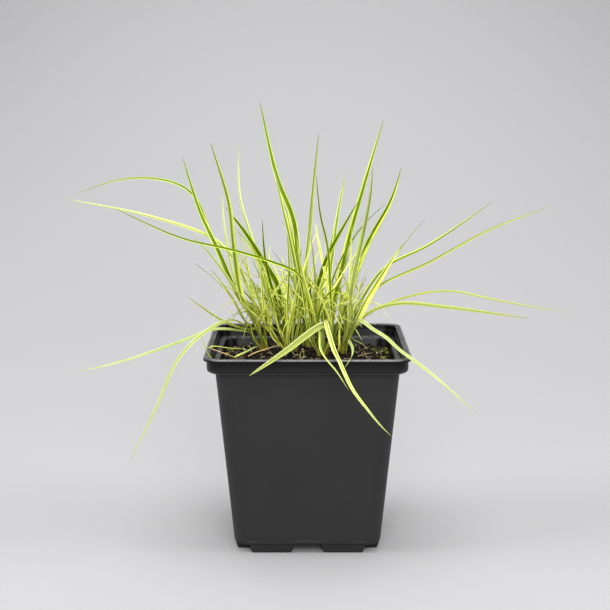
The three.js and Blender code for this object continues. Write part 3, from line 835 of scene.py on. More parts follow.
# Grass: the tillers, and the middles of the shoots that they gather to
shoots = np.array([(-29, 12), (-18, 23), (-11, 1), (2, 15), (11, -7), (23, 3), (16, 22)]) * mm
tillerShape = {
    "gather": 0.5,  # share of the way to its shoot that a tiller is drawn
    "closer": 0.45,  # and the further share that its sheath's foot is drawn here, unlike the solid's
    "foot": 0.0007,  # the sheath's radii at its foot, neck and top
    "neck": 0.0008,
    "top": 0.0006,
    "closing": 1.02,  # the square of the radius falls from this by a cube
    "sides": 14,
    "rings": (5, 12),  # from foot to neck and from neck to top, the neck's counted in both
    "mapped": 0.2,  # how far along a leaf's pattern its top is
    "mappedRound": (0.2, 0.6),  # where across the pattern it begins, and how much of it goes half way round
    "deep": 0.010,
    "rise": 0.013,  # least height of a sheath, and the most that a draw adds
    "spread": 0.009,
    "fromCrown": 0.24,  # how far it leans away from the crown's middle and from its shoot's
    "fromShoot": 0.9,
    "turn": 137.508,  # degrees from one tiller to the next on the spiral
    "seed": 7,
    "room": (0.0030, 0.0030, 0.0026),  # width at foot, neck and top that short leaves are kept clear of
}


# Evenly spread numbers from 0 to 1, the same as the solid's
def seeded(state):
    while True:
        state = (state * 1664525 + 1013904223) % 4294967296
        yield state / 4294967296


# Tillers stand on a spiral over the crown's oval, each drawn to its shoot and leaning out of it
def placeTillers():
    shape = tillerShape
    draw = seeded(shape["seed"])
    tillers = []
    for k in range(crown["tillers"]):
        out = np.sqrt((k + 0.5) / crown["tillers"])
        angle = radians(shape["turn"] * k)
        x = crown["x"] + crown["halfX"] * out * np.cos(angle)
        y = crown["y"] + crown["halfY"] * out * np.sin(angle)
        shoot = shoots[((shoots - (x, y)) ** 2).sum(1).argmin()]
        x += shape["gather"] * (shoot[0] - x)
        y += shape["gather"] * (shoot[1] - y)
        soil = soilHeight(x, y)
        neck = np.array([x, y, soil + mm])
        lean = np.array([
            shape["fromCrown"] * (x - crown["x"]) + shape["fromShoot"] * (x - shoot[0]),
            shape["fromCrown"] * (y - crown["y"]) + shape["fromShoot"] * (y - shoot[1]),
            shape["rise"] + shape["spread"] * next(draw),
        ])
        foot = np.array([x, y, soil - shape["deep"]])
        pull = shape["closer"] * np.array([shoot[0] - x, shoot[1] - y, 0])
        tillers.append({"foot": foot, "neck": neck, "top": neck + lean, "pull": pull, "leaves": []})
    return tillers


# The tints: tone from dark green to yellow-green, how pale, and how olive
leafTints = {
    "dark": (0.05, 0.0, 0.0),
    "green": (0.30, 0.0, 0.0),
    "striped": (0.35, 0.20, 0.0),
    "bright": (0.70, 0.10, 0.0),
    "yellow": (1.0, 0.0, 0.0),
    "pale": (0.58, 0.45, 0.0),
    "cream": (0.60, 0.95, 0.0),
    "muted": (0.55, 0.85, 0.12),
    "faded": (0.35, 0.65, 0.42),
    "dull": (0.50, 0.30, 0.40),
    "olive": (0.25, 0.10, 0.55),
}


# The leaves that reach out of the tuft: tiller (the first is 0), width, face, twist, tint and the points
# that each passes through, in mm. Face is the way its upper side looks, in degrees: 0 is up and 90 is
# towards the viewer.
reachingLeaves = [
    # tall leaves, from the left
    [30, 4.2, 80, 10, "green", [[-48, 16, 161], [-60, 20, 188], [-72, 28, 213], [-84, 36, 249]]],
    [25, 4.4, 90, -10, "bright", [[-42, 0, 157], [-47, -10, 191], [-50, -24, 225], [-60, -46, 264]]],
    [35, 2.0, 70, 20, "pale", [[-46, 34, 158], [-57, 56, 198], [-60, 76, 226]]],
    [9, 4.6, 90, 10, "dark", [[-19, 13, 162], [-30, 15, 182], [-41, 17, 199], [-55, 20, 217]]],
    [17, 2.2, 80, 0, "green", [[-26, 6, 163], [-34, 8, 186], [-47, 10, 203]]],
    [17, 2.4, 80, 0, "pale", [[-35, 9, 143], [-47, 8, 162], [-62, 7, 184], [-76, 6, 200]]],
    [14, 2.4, 90, 20, "pale", [[-27, 28, 159], [-36, 40, 188], [-46, 54, 219], [-48, 72, 257]]],
    [1, 4.8, 90, 10, "green", [[-6, 14, 161], [-9, 18, 206], [-20, 24, 235], [-32, 34, 286]]],
    [7, 3.4, 80, 10, "striped", [[-6, 0, 164], [-11, -2, 197], [-17, -4, 223], [-22, -6, 246]]],
    [6, 2.6, 90, 0, "yellow", [[-7, 22, 160], [-10, 36, 189], [-14, 50, 213]]],
    [4, 2.4, 80, 0, "dark", [[-21, 2, 157], [-27, -10, 184], [-29, -22, 214]]],
    [28, 2.0, 90, 0, "green", [[-13, -14, 156], [-12, -16, 182], [-13, -18, 204]]],
    [2, 2.0, 90, 0, "olive", [[-3, -4, 158], [-5, -12, 177], [-4, -24, 196]]],
    [0, 3.8, 90, 20, "pale", [[-1, 8, 166], [2, 0, 210], [5, -14, 246], [7, -28, 268]]],
    [18, 2.0, 90, 0, "green", [[15, -9, 162], [13, -20, 193], [8, -36, 217], [5, -58, 245]]],
    [16, 3.2, 90, 0, "striped", [[14, 21, 154], [18, 36, 192], [22, 52, 215], [27, 72, 236]]],
    [11, 2.6, 80, 0, "green", [[10, 40, 157], [17, 72, 186], [23, 106, 210]]],
    [8, 4.6, 90, 15, "green", [[19, 16, 161], [28, 24, 197], [39, 38, 233], [52, 54, 273]]],
    [5, 3.8, 80, 10, "dark", [[6, 4, 156], [12, 5, 182], [25, 8, 207], [34, 10, 222]]],
    [26, 3.6, 90, 0, "pale", [[28, -3, 161], [35, -18, 201], [39, -34, 228], [40, -50, 249]]],
    [29, 4.4, 80, 10, "dark", [[30, 21, 164], [41, 32, 191], [57, 48, 218], [65, 62, 240]]],
    # leaves that lean over the pot's back rim
    [27, 2.6, 45, 0, "green", [[-18, 42, 150], [-28, 70, 158], [-40, 96, 142]]],
    [32, 3.0, 45, 0, "striped", [[4, 42, 152], [8, 70, 162], [6, 98, 150]]],
    [37, 2.6, 45, 0, "bright", [[22, 38, 148], [32, 60, 158], [38, 88, 144]]],
    # leaves that arch out to the right
    [26, 2.2, 60, 0, "dull", [[31, 0, 145], [45, -2, 165], [79, -8, 183], [117, -14, 205], [157, -22, 222]]],
    [21, 2.2, 60, 20, "green", [[33, 13, 150], [50, 16, 175], [82, 24, 191], [126, 36, 219]]],
    [34, 1.8, 50, 10, "dull", [[37, 6, 144], [56, 5, 155], [90, 0, 163], [125, -10, 158], [168, -28, 153]]],
    [39, 5.0, 90, 10, "yellow", [[31, -9, 142], [39, -12, 159], [51, -14, 180], [61, -15, 196]]],
    [39, 3.0, 50, 30, "dull", [[33, -6, 142], [41, -4, 150], [60, -8, 156], [92, -12, 154], [144, -20, 148]]],
    # leaves folded over, which hang across the rim at the front
    [39, 2.8, 60, 0, "muted",
     [[31, -14, 145], [34, -20, 147], [41, -34, 144], [49, -48, 141],
      [57, -65, 136], [74, -84, 126], [100, -104, 106]]],
    [31, 3.4, 60, 0, "pale",
     [[14, -16, 145], [12, -22, 147], [16, -58, 136], [19, -75, 132],
      [27, -89, 117], [36, -96, 106], [42, -99, 99], [50, -101, 91]]],
    [31, 5.2, 60, 0, "faded",
     [[14, -17, 141], [10, -26, 145], [-13, -60, 135], [-26, -81, 130], [-35, -97, 127]]],
    [31, 2.0, 60, 0, "pale",
     [[8, -20, 141], [8, -30, 140], [8, -58, 136], [11, -74, 133], [18, -83, 126], [25, -90, 116]]],
    [39, 2.4, 60, 0, "muted",
     [[27, -36, 135], [28, -52, 135], [27, -67, 133], [25, -70, 130], [22, -72, 126]]],
    # leaves that arch out to the left
    [38, 2.8, 60, 10, "muted",
     [[-42, 2, 140], [-49, -2, 144], [-63, -10, 140],
      [-83, -18, 122], [-98, -26, 90], [-115, -34, 56]]],
    [38, 2.6, 50, 0, "muted",
     [[-46, 14, 134], [-63, 24, 133], [-84, 26, 125], [-122, 30, 111], [-160, 32, 101]]],
    [30, 2.4, 40, 0, "olive", [[-41, 19, 134], [-58, 26, 139], [-82, 34, 154]]],
    [25, 1.8, 60, 0, "dull", [[-37, 0, 139], [-42, -3, 145], [-49, -8, 160], [-63, -14, 181]]],
    [36, 2.4, 60, 10, "dark",
     [[1, -18, 153], [-5, -22, 176], [-24, -26, 186],
      [-49, -30, 194], [-80, -34, 202], [-124, -40, 223]]],
    [22, 3.0, 60, 10, "pale",
     [[-35, 24, 150], [-48, 27, 179], [-64, 31, 194], [-106, 38, 208], [-168, 46, 220]]],
    [35, 2.8, 60, 10, "green",
     [[-46, 36, 154], [-64, 46, 190], [-78, 52, 221],
      [-93, 54, 230], [-124, 58, 232], [-162, 62, 221]]],
    # thin bent leaves at the tuft's edge
    [39, 1.8, 60, 0, "dull", [[29, -14, 149], [25, -20, 171], [16, -26, 189]]],
    [20, 1.6, 60, 0, "dull", [[-23, -8, 152], [-29, -12, 170], [-36, -16, 187]]],
    [20, 1.6, 60, 0, "dull", [[-34, -14, 149], [-45, -20, 160], [-53, -25, 157], [-44, -30, 150]]],
    [33, 1.8, 60, 0, "dull", [[-30, -10, 152], [-37, -14, 173], [-43, -17, 181], [-37, -20, 191]]],
    [33, 1.8, 60, 0, "dull", [[-35, -10, 147], [-43, -16, 163], [-56, -20, 171]]],
    [23, 1.6, 90, 0, "olive", [[6, -14, 159], [4, -18, 185], [2, -22, 204]]],
    [15, 1.8, 50, 0, "olive", [[-5, -10, 159], [-2, -16, 175], [7, -22, 168], [21, -28, 155]]],
]
leafRules = {
    "perTiller": 5,
    "clearance": 0.00035,  # least room that a short leaf leaves to every other tiller
    "highestRoot": 0.9,  # share of its sheath at which a tiller's first reaching leaf leaves it
    "rootStep": 0.13,  # how much lower each next one does
    "seed": 17,
}


# The short leaves that fill the tuft. A pair is a draw's least value and its range, lengths and widths in
# mm and angles in degrees; sway and root are shares of the leaf's length and of the sheath.
shortLeaf = {
    "fan": 3.4,  # radians over which they head, about the way the sheath leans
    "curlyShare": 0.4,
    "long": (24, 30),
    "lean": (4, 26),
    "flat": {"bend": (8, 50), "width": (1.6, 1.2), "sway": 0.25},
    "curly": {"bend": (45, 90), "width": (1.0, 0.5), "sway": 0.6},
    "root": (0.5, 0.45),
    "roll": 60,
    "twist": 120,
    "lookUp": 0.3,
    "side": 0.044,  # the furthest that a tip may be to either side of the crown's middle
    "front": -0.042,  # the nearest to the viewer that a tip may be
    "attempts": 30,  # draws made for a leaf before it is left out
}


# Share of a leaf's full width at a share of its length: narrower in the sheath, and tapered to its tip
def girth(share):
    return np.minimum(1, 0.62 + 2.2 * share) * (1 - share ** 2.6) ** 0.8


# A centripetal Catmull-Rom curve: between two points it is the cubic whose slopes follow their neighbours,
# with each stretch timed by the root of its length
def curveThrough(points, perSpan):
    points = np.asarray(points, float)
    points = np.concatenate([[2 * points[0] - points[1]], points, [2 * points[-1] - points[-2]]])
    before, start, end, after = (points[k:len(points) - 3 + k, None] for k in range(4))
    coming, here, going = (np.sqrt(np.linalg.norm(b - a, axis=-1, keepdims=True))
                           for a, b in ((before, start), (start, end), (end, after)))
    slopeIn = (start - before) / coming - (end - before) / (coming + here) + (end - start) / here
    slopeOut = (end - start) / here - (after - start) / (here + going) + (after - end) / going
    slopeIn, slopeOut = slopeIn * here, slopeOut * here
    s = (np.arange(perSpan) / perSpan)[None, :, None]
    curve = (start + slopeIn * s + (3 * (end - start) - 2 * slopeIn - slopeOut) * s ** 2
             + (2 * (start - end) + slopeIn + slopeOut) * s ** 3)
    return np.concatenate([curve.reshape(-1, 3), points[-2:-1]])


# The least room between two lines of stretches, less half their widths: for each pair of stretches
# the two nearest points are found, each kept between its stretch's ends
def roomBetween(a, b):
    p, u = a["line"][:-1, None], np.diff(a["line"], axis=0)[:, None]
    q, v = b["line"][None, :-1], np.diff(b["line"], axis=0)[None]
    w = p - q
    pairs = ((u, u), (v, v), (u, v), (u, w), (v, w))
    uu, vv, uv, uw, vw = ((one * other).sum(-1) for one, other in pairs)
    s = np.clip((uv * vw - vv * uw) / np.maximum(uu * vv - uv * uv, 1e-21), 0, 1)
    t = np.clip((uv * s + vw) / vv, 0, 1)
    s = np.clip((uv * t - uw) / uu, 0, 1)
    apart = np.linalg.norm(w + s[..., None] * u - t[..., None] * v, axis=-1)
    wide = [np.maximum(one["widths"][:-1], one["widths"][1:]) for one in (a, b)]
    return (apart - np.add.outer(*wide) / 2).min()


# A leaf's values, the curve through its points, and its width along that: the full width times its girth
def makeLeaf(width, looks, roll, twist, points):
    line = curveThrough(points, 2)
    return {"width": width, "looks": looks, "roll": roll, "twist": twist, "points": points, "line": line,
            "widths": width * girth(np.linspace(0, 1, len(line)))}


# Each reaching leaf leaves its sheath a step lower than the one before it, and looks as its face says
def addReachingLeaves(tillers):
    for k, width, face, twist, tint, points in reachingLeaves:
        tiller = tillers[k]
        share = leafRules["highestRoot"] - leafRules["rootStep"] * len(tiller["leaves"])
        root = tiller["neck"] + share * (tiller["top"] - tiller["neck"])
        looks = np.array([0, -np.sin(radians(face)), np.cos(radians(face))])
        leaf = makeLeaf(width * mm, looks, 0, twist, [root, *(np.array(point) * mm for point in points)])
        tiller["leaves"].append({**leaf, "tint": tint})


# One short leaf, drawn at random: it leaves the sheath upright and bends over outwards
def drawShortLeaf(tiller, draw):
    rule = shortLeaf

    def between(least, span):
        return least + span * next(draw)

    lean = tiller["top"] - tiller["neck"]
    heading = np.arctan2(lean[1], lean[0]) + (next(draw) - 0.5) * rule["fan"]
    kind = rule["curly"] if next(draw) < rule["curlyShare"] else rule["flat"]
    long = between(*rule["long"]) * mm
    tilt = radians(between(*rule["lean"]))
    bend = radians(between(*kind["bend"]))
    width = between(*kind["width"]) * mm
    root = tiller["neck"] + between(*rule["root"]) * lean
    ahead = np.array([np.cos(heading), np.sin(heading), 0])
    aside = np.array([-np.sin(heading), np.cos(heading), 0])
    up = np.array([0, 0, 1])
    middle = root + long / 2 * (np.sin(tilt) * ahead + np.cos(tilt) * up)
    tip = middle + long / 2 * (np.sin(tilt + bend) * ahead + np.cos(tilt + bend) * up)
    tip = tip + kind["sway"] * long * (next(draw) - 0.5) * aside
    return width, ahead, [root, middle, tip]


# Short leaves fill each tiller up to its number, each drawn again until it is clear of the other tillers
def addShortLeaves(tillers):
    draw = seeded(leafRules["seed"])
    for tiller in tillers:
        tiller["stem"] = {"line": np.array([tiller["foot"], tiller["neck"], tiller["top"]]),
                          "widths": np.array(tillerShape["room"])}
    for rank in range(leafRules["perTiller"]):
        for own in tillers:
            if len(own["leaves"]) > rank:
                continue
            for _ in range(shortLeaf["attempts"]):
                width, ahead, points = drawShortLeaf(own, draw)
                tip = points[2]
                outside = abs(tip[0] - crown["x"]) > shortLeaf["side"] or tip[1] < shortLeaf["front"]
                if outside or tip[2] < potShape["height"]:
                    continue
                looks = ahead * (-1, -1, 0) + (0, 0, shortLeaf["lookUp"])
                leaf = makeLeaf(width, looks, 0, 0, points)
                others = (standing for tiller in tillers if tiller is not own
                          for standing in (tiller["stem"], *tiller["leaves"]))
                if any(roomBetween(leaf, standing) < leafRules["clearance"] for standing in others):
                    continue
                leaf["roll"] = (next(draw) - 0.5) * shortLeaf["roll"]
                leaf["twist"] = (next(draw) - 0.5) * shortLeaf["twist"]
                own["leaves"].append({**leaf, "tint": None})
                break


# More thin leaves, which only the scene has: on each tiller one that stays rather upright and one that curls
# over. The slope starts at rise and falls by fall towards the tip, and the heading turns by up to drift
# either way, all in degrees.
thinLeaf = {
    "steps": 5,
    "kinds": (
        {"long": (0.036, 0.090), "rise": (60, 88), "fall": (0, 50), "drift": 40, "width": (0.0014, 0.0026)},
        {"long": (0.022, 0.055), "rise": (50, 85), "fall": (80, 180), "drift": 80, "width": (0.0008, 0.0015)},
    ),
    "fan": 1.2,  # spread in radians of their headings about the way the sheath leans
    "looks": (0.0, -0.8, 0.6),
    "twist": 90,
    "apart": 0.0016,  # spread of their feet about the sheath's
    "lowest": 0.132,  # a leaf that would come lower is left out
    "seed": 5,
}


def addThinLeaves(tillers):
    rules = thinLeaf
    draw = np.random.default_rng(rules["seed"])
    share = np.arange(rules["steps"]) / rules["steps"]
    for tiller in tillers:
        lean = tiller["top"] - tiller["neck"]
        for kind in rules["kinds"]:
            slope = np.radians(draw.uniform(*kind["rise"]) - draw.uniform(*kind["fall"]) * share)
            outward = np.arctan2(lean[1], lean[0]) + draw.normal(0, rules["fan"])
            heading = outward + np.radians(draw.uniform(-1, 1) * kind["drift"]) * share
            level = np.cos(slope)
            way = np.stack([level * np.cos(heading), level * np.sin(heading), np.sin(slope)], -1)
            points = tiller["top"] + np.cumsum(way, 0) * draw.uniform(*kind["long"]) / rules["steps"]
            if points[:, 2].min() < rules["lowest"]:
                continue
            width = draw.uniform(*kind["width"])
            twist = draw.uniform(-rules["twist"], rules["twist"])
            leaf = makeLeaf(width, np.array(rules["looks"]), 0, twist, [tiller["top"], *points])
            apart = np.array([*draw.normal(0, rules["apart"], 2), 0])
            tiller["leaves"].append({**leaf, "tint": None, "apart": apart})


# Grass: the blades
bladeShape = {
    "acrossPoints": 9,
    "perSpan": 8,
    "thick": 0.00026,
    "edgeThick": 0.3,  # thickness at the edges as a share of that in the middle
    "midrib": 0.00012,
    "midribHalf": 0.16,  # how broad the midrib is, as a share of half the width
    "roundFold": 0.02,  # how softly the fold turns in the middle
    "sunk": 0.35,  # how far the V is let down under the line, as a share of half the width times the sine
    "baseFold": 46,  # degrees each half stands up beside the sheath
    "bladeFold": 24,
    "foldRun": 0.014,  # length over which the fold opens
    "aside": 0.0009,  # how far its foot stands from the middle of the sheath
    "rootAside": 0.6,  # share of that where it leaves the sheath
    "footShare": 0.35,  # width at the sheath's foot as a share of that where the blade leaves it
    "slimShare": 0.95,  # width of a short leaf as a share of the solid's
    "sharpBend": 0.009,  # radius of bend at which a blade creases to half its width
    "slimFrom": (0.0006, 0.15),  # half width under which a blade grows thinner, and the least share left
    "acrossSmooth": 6,  # how many times directions across are smoothed, and bends
    "bendSmooth": 4,
    "seed": 21,
}


# Numbers in a row smoothed by their neighbours, with the ends kept
def smoothed(values, times):
    for _ in range(times):
        values = np.concatenate([values[:1], (values[:-2] + 2 * values[1:-1] + values[2:]) / 4, values[-1:]])
    return values


# A blade's middle line from the foot of its sheath on, the distance along it, and how much of that is
# past the sheath
def bladeLine(leaf, stem):
    shape = bladeShape
    root, ahead = leaf["points"][0], leaf["points"][1] - leaf["points"][0]
    outward = ahead * (1, 1, 0) / (np.linalg.norm(ahead[:2]) + 1e-9) * shape["aside"]
    leaving = root + shape["rootAside"] * outward * bool(stem)
    points = [*(point + outward for point in stem), leaving, *leaf["points"][1:]]
    line = curveThrough(points, shape["perSpan"])
    distance = np.concatenate([[0], np.cumsum(np.linalg.norm(np.diff(line, axis=0), axis=1))])
    free = np.maximum(distance - distance[len(stem) * shape["perSpan"]], 0)
    return line, distance, free


# Directions along, across and up from a blade. Across is square to its way and to where it looks, keeps
# its side where it would flip over and is smoothed, and then both turn by the leaf's roll and twist.
def bladeDirections(leaf, line, share):
    along = unit(np.gradient(line, axis=0))
    across = unit(np.cross(along, leaf["looks"]))
    kept = np.where((across[1:] * across[:-1]).sum(1) < 0, -1, 1)
    across = smoothed(across * np.cumprod(np.concatenate([[1], kept]))[:, None], bladeShape["acrossSmooth"])
    up = unit(np.cross(across, along))
    across = np.cross(along, up)
    turn = np.radians(leaf["roll"] + leaf["twist"] * share)[:, None]
    return along, np.cos(turn) * across - np.sin(turn) * up, np.cos(turn) * up + np.sin(turn) * across


# Half a blade's width along it: its girth, drawn in where it bends sharply and down in its sheath
def bladeHalf(leaf, along, distance, free, inStem):
    shape = bladeShape
    bend = np.linalg.norm(np.gradient(along, axis=0), axis=1) / np.gradient(distance)
    crease = 1 / (1 + (smoothed(bend, shape["bendSmooth"]) * shape["sharpBend"]) ** 2)
    climbed = np.clip(distance / (distance - free).max(), 0, 1) if inStem else 1
    drawnIn = shape["footShare"] + (1 - shape["footShare"]) * climbed
    return leaf["width"] * girth(free / free[-1]) * crease * drawnIn / 2


# The section of a blade at each row: a shallow V. Across it, a runs from -1 to 1; a point stands a times
# the half width out, folded up by the fold angle, on the upper side and then back on the lower one, which
# has the midrib. Gives how far each point stands sideways and up, and its place from edge to edge.
def bladeSection(half, free):
    shape = bladeShape
    half = half[:, None]
    fold = shape["bladeFold"] + (shape["baseFold"] - shape["bladeFold"]) * np.exp(-free / shape["foldRun"])
    fold = np.radians(fold)[:, None]
    a = np.linspace(-1, 1, shape["acrossPoints"])
    flat = (shape["edgeThick"] + (1 - shape["edgeThick"]) * (1 - a ** 2)) * shape["thick"] / 2
    rib = shape["midrib"] * np.exp(-(a / shape["midribHalf"]) ** 2)
    rise = np.sqrt(a ** 2 + shape["roundFold"]) - np.sqrt(shape["roundFold"]) - shape["sunk"]
    slimUnder, slimmest = shape["slimFrom"]
    slim = np.clip(half / slimUnder, slimmest, 1)
    sideways, lift = half * a * np.cos(fold), half * rise * np.sin(fold)
    upper, lower = lift + flat * slim, lift - (flat + rib) * slim
    back = slice(-2, 0, -1)
    sideways = np.concatenate([sideways, sideways[:, back]], 1)
    height = np.concatenate([upper, lower[:, back]], 1)
    return sideways, height, np.concatenate([a, a[back]]) / 2 + 0.5


# A blade: its section carried along its line. The last ring gives way to the tip's point.
def bladeRings(leaf, stem=()):
    line, distance, free = bladeLine(leaf, stem)
    share = free / free[-1]
    along, across, up = bladeDirections(leaf, line, share)
    half = bladeHalf(leaf, along, distance, free, bool(stem))
    sideways, height, place = bladeSection(half, free)
    rings = line[:, None] + across[:, None] * sideways[..., None] + up[:, None] * height[..., None]
    return rings[:-1], place, share[:-1], free[:-1], line[[0, -1]]


# One blade with its values: leafMap holds its place across and along the leaf, looks its tint, and grown
# how near it is to where the leaf leaves its sheath (x), how broad the leaf is (y) and a number of its
# own (z). The first is 1 in the sheath, and past it falls off exponentially.
def bladePart(leaf, tint, own, stem=()):
    rings, place, share, free, ends = bladeRings(leaf, stem)
    rows, around = rings.shape[:2]
    uv = np.stack(np.broadcast_arrays(place, share[:, None]), -1)
    nearFoot = np.exp(-free / leafLooks["baseRun"])[:, None]
    broad = np.clip(leaf["width"] / mm / leafLooks["marginFrom"] - 1, 0, 1)
    grown = np.stack(np.broadcast_arrays(nearFoot, place * 0 + broad, own), -1)
    return {
        "shape": tubes(rings[None], ends[None]),
        "uv": np.concatenate([uv.reshape(-1, 2), [[0.5, 0], [0.5, 1]]]),
        "looks": np.broadcast_to(tint, (rows * around + 2, 3)),
        "grown": np.concatenate([grown.reshape(-1, 3), [[1, broad, own], [0, broad, own]]]),
    }


# The rolled sheath: rings round the tiller's line, whose radius runs from foot to neck to top. s runs from
# 0 at the foot over 1 at the neck to 2 at the top, where a cube takes the radius in. Round it, the leaf's
# pattern runs across and back.
def sheathPart(tiller, tint, own):
    shape = tillerShape
    below, above = shape["rings"]
    sides, mapped = shape["sides"], shape["mapped"]
    s = np.concatenate([np.linspace(0, 1, below)[:-1], np.linspace(1, 2, above)])[:, None]
    lower, upper = np.clip(s, 0, 1), np.clip(s - 1, 0, 1)
    foot, neck, top = tiller["foot"] + tiller["pull"], tiller["neck"] + tiller["pull"], tiller["top"]
    line = foot + lower * (neck - foot) + upper * (top - neck)
    radius = shape["foot"] + lower * (shape["neck"] - shape["foot"]) + upper * (shape["top"] - shape["neck"])
    radius = radius[:, 0] * np.sqrt(shape["closing"] - upper[:, 0] ** 3)
    made = tubesAlong(line[None], radius[None], sides)
    count = len(made[0])
    begins, wide = shape["mappedRound"]
    around = np.abs(np.arange(sides) / (sides / 2) - 1) * wide + begins
    uv = np.stack([np.tile(around, len(s)), np.repeat(mapped * upper[:, 0], sides)], -1)
    return {
        "shape": made,
        "uv": np.concatenate([uv, [[0.5, 0], [0.5, mapped]]]),
        "looks": np.broadcast_to(tint, (count, 3)),
        "grown": np.broadcast_to((1.0, 0.0, own), (count, 3)),
    }


# Grass. A tint holds the tone from dark green to yellow-green, how pale the leaf is and how olive. Each
# pair of plain numbers is where a mask begins and is full, unless its note says that it is a slope.
leafLooks = {
    "baseRun": 0.014,  # length over which nearFoot falls off
    "marginFrom": 1.6,  # width in mm from which a leaf begins to show its cream margins
    "dark": (0.055, 0.105, 0.0025, 1),
    "green": (0.20, 0.30, 0.012, 1),
    "lime": (0.72, 0.77, 0.06, 1),
    "yellow": (0.93, 0.93, 0.32, 1),
    "grey": (0.30, 0.38, 0.14, 1),
    "margin": (0.46, 0.54, 0.05, 1),
    "cream": (0.72, 0.76, 0.40, 1),
    "palest": (0.68, 0.72, 0.45, 1),
    "shade": (0.030, 0.048, 0.001, 1),
    "soiled": (0.20, 0.16, 0.03, 1),
    "olive": (0.20, 0.20, 0.04, 1),
    "through": (0.80, 0.90, 0.05, 1),
    "lineDark": (0.56, 0.60, 0.36, 1),  # what the fine lines multiply the colour by
    "lineLight": (1.14, 1.13, 1.08, 1),
    "drift": (0.0, 1.5, 1, 0.0),  # each noise: scale across and along, detail, and a shift of its own
    "narrow": (9.0, 1.4, 2, 7.3),
    "fine": (30.0, 4.0, 2, 3.1),
    "ownShift": 83.0,
    "ownTurns": 7.3,
    "middleOwn": 0.4,
    "middleDrift": (0.5, 0.05),  # slope by the noise, and start
    "bandHalf": (-0.18, 0.35),  # slope by the tone, and start
    "bandEdge": (0.04, -0.02),
    "tipBand": (0.85, 1.0),
    "tipWider": 0.25,
    "paleUp": (0.8, 0.3),
    "brighter": (0.75, 0.25),  # slope by the tone, and start
    "limeLines": (0.48, 0.56),
    "creamHeight": (0.15, 0.20),
    "creamTone": (0.1, 0.6),
    "marginRagged": 0.5,
    "marginEdge": (0.95, 1.02),
    "streakHalf": 0.03,
    "streakTone": (0.2, 0.6),
    "fineLines": (0.35, 0.65),
    "footLines": (0.42, 0.58),
    "footTone": (0.6, 0.15),  # slope by the tone, and start
    "lowHeight": (0.160, 0.124),
    "lowNear": (0.08, 0.40),
    "lowOwn": (0.9, 0.4),
    "lowShare": 0.85,
    "soilHeight": (0.1280, 0.1215),
    "soilNear": (0.70, 0.95),
    "soiledShare": 0.75,
    "tipFrom": (0.90, 1.0),
    "tipShare": 0.5,
    "roughness": 0.6,
    "specular": 0.02,
    "fineBump": (0.00010, 0.6),  # depth and strength
    "throughShare": 0.35,
    "letThrough": 0.16,  # how far a leaf is translucent
}


# What each place on a leaf is known by: where it is, the leaf's tint, and the values of grown
def leafValues(tree):
    across, along, _ = split(tree, leafMap(tree))
    tone, pale, olive = split(tree, attributeVector(tree, "looks"))
    nearFoot, broad, own = split(tree, attributeVector(tree, "grown"))
    return {
        "across": across, "along": along, "z": split(tree, objectPlace(tree))[2],
        "tone": tone, "pale": pale, "olive": olive,
        "nearFoot": nearFoot, "broad": broad, "own": own,
        "ownMiddle": mathNode(tree, "FRACT", product(tree, own, leafLooks["ownTurns"])),
    }


# Noise over the ways across and along a leaf, each times its scale, in a layer of the leaf's own
def leafNoise(tree, leaf, acrossScale, alongScale, detail, shift):
    inputs = {
        0: product(tree, leaf["across"], acrossScale),
        1: product(tree, leaf["along"], alongScale),
        2: linear(tree, leaf["own"], leafLooks["ownShift"], shift),
    }
    return noise(tree, node(tree, "ShaderNodeCombineXYZ", inputs).outputs[0], 1.0, detail)


# How far a place is inside a band along the leaf: by its distance from the band's middle less half the width
def bandMask(tree, leaf, middle, halfWidth):
    off = distanceTo(tree, leaf["across"], middle)
    return smoothStep(tree, mathNode(tree, "SUBTRACT", off, halfWidth), *leafLooks["bandEdge"])


# Stripes. The ground is a mix of green and yellow by the tone, with lime where the narrow noise is high.
# On it lies one dark band, whose middle is the leaf's own and drifts, and whose half width falls with the
# tone and grows at the tip. Pale leaves turn grey, less so at the foot. Cream lies over that on a broad
# leaf's ragged margins, and in a streak on the other side of the leaf from the band where the tone is
# high. It is yellow low down, duller at a low tone and palest on a pale leaf.
def stripeColours(tree, leaf, narrow):
    looks = leafLooks
    tone = leaf["tone"]
    drift = linear(tree, leafNoise(tree, leaf, *looks["drift"]), *looks["middleDrift"])
    middle = linear(tree, leaf["ownMiddle"], looks["middleOwn"], drift)
    halfWidth = linear(tree, tone, *looks["bandHalf"])
    halfWidth = linear(tree, smoothStep(tree, leaf["along"], *looks["tipBand"]), looks["tipWider"], halfWidth)
    pale = product(tree, leaf["pale"], smoothStep(tree, leaf["nearFoot"], *looks["paleUp"]))
    dark = mixColours(tree, tone, looks["dark"], looks["green"])
    bright = mixColours(tree, linear(tree, tone, *looks["brighter"]), looks["green"], looks["yellow"])
    bright = mixColours(tree, smoothStep(tree, narrow, *looks["limeLines"]), bright, looks["lime"])
    colour = mixColours(tree, bandMask(tree, leaf, middle, halfWidth), bright, dark)
    colour = mixColours(tree, pale, colour, looks["grey"])
    high = smoothStep(tree, leaf["z"], *looks["creamHeight"])
    cream = mixColours(tree, high, looks["yellow"], looks["cream"])
    cream = mixColours(tree, smoothStep(tree, tone, *looks["creamTone"]), looks["margin"], cream)
    cream = mixColours(tree, pale, cream, looks["palest"])
    toEdge = mathNode(tree, "ABSOLUTE", linear(tree, leaf["across"], 2.0, -1.0))
    margin = smoothStep(tree, linear(tree, narrow, looks["marginRagged"], toEdge), *looks["marginEdge"])
    opposite = mathNode(tree, "SUBTRACT", 1.0, middle)
    streak = product(tree, bandMask(tree, leaf, opposite, looks["streakHalf"]),
                     smoothStep(tree, tone, *looks["streakTone"]))
    return mixColours(tree, mathNode(tree, "MAXIMUM", product(tree, margin, leaf["broad"]), streak),
                      colour, cream)


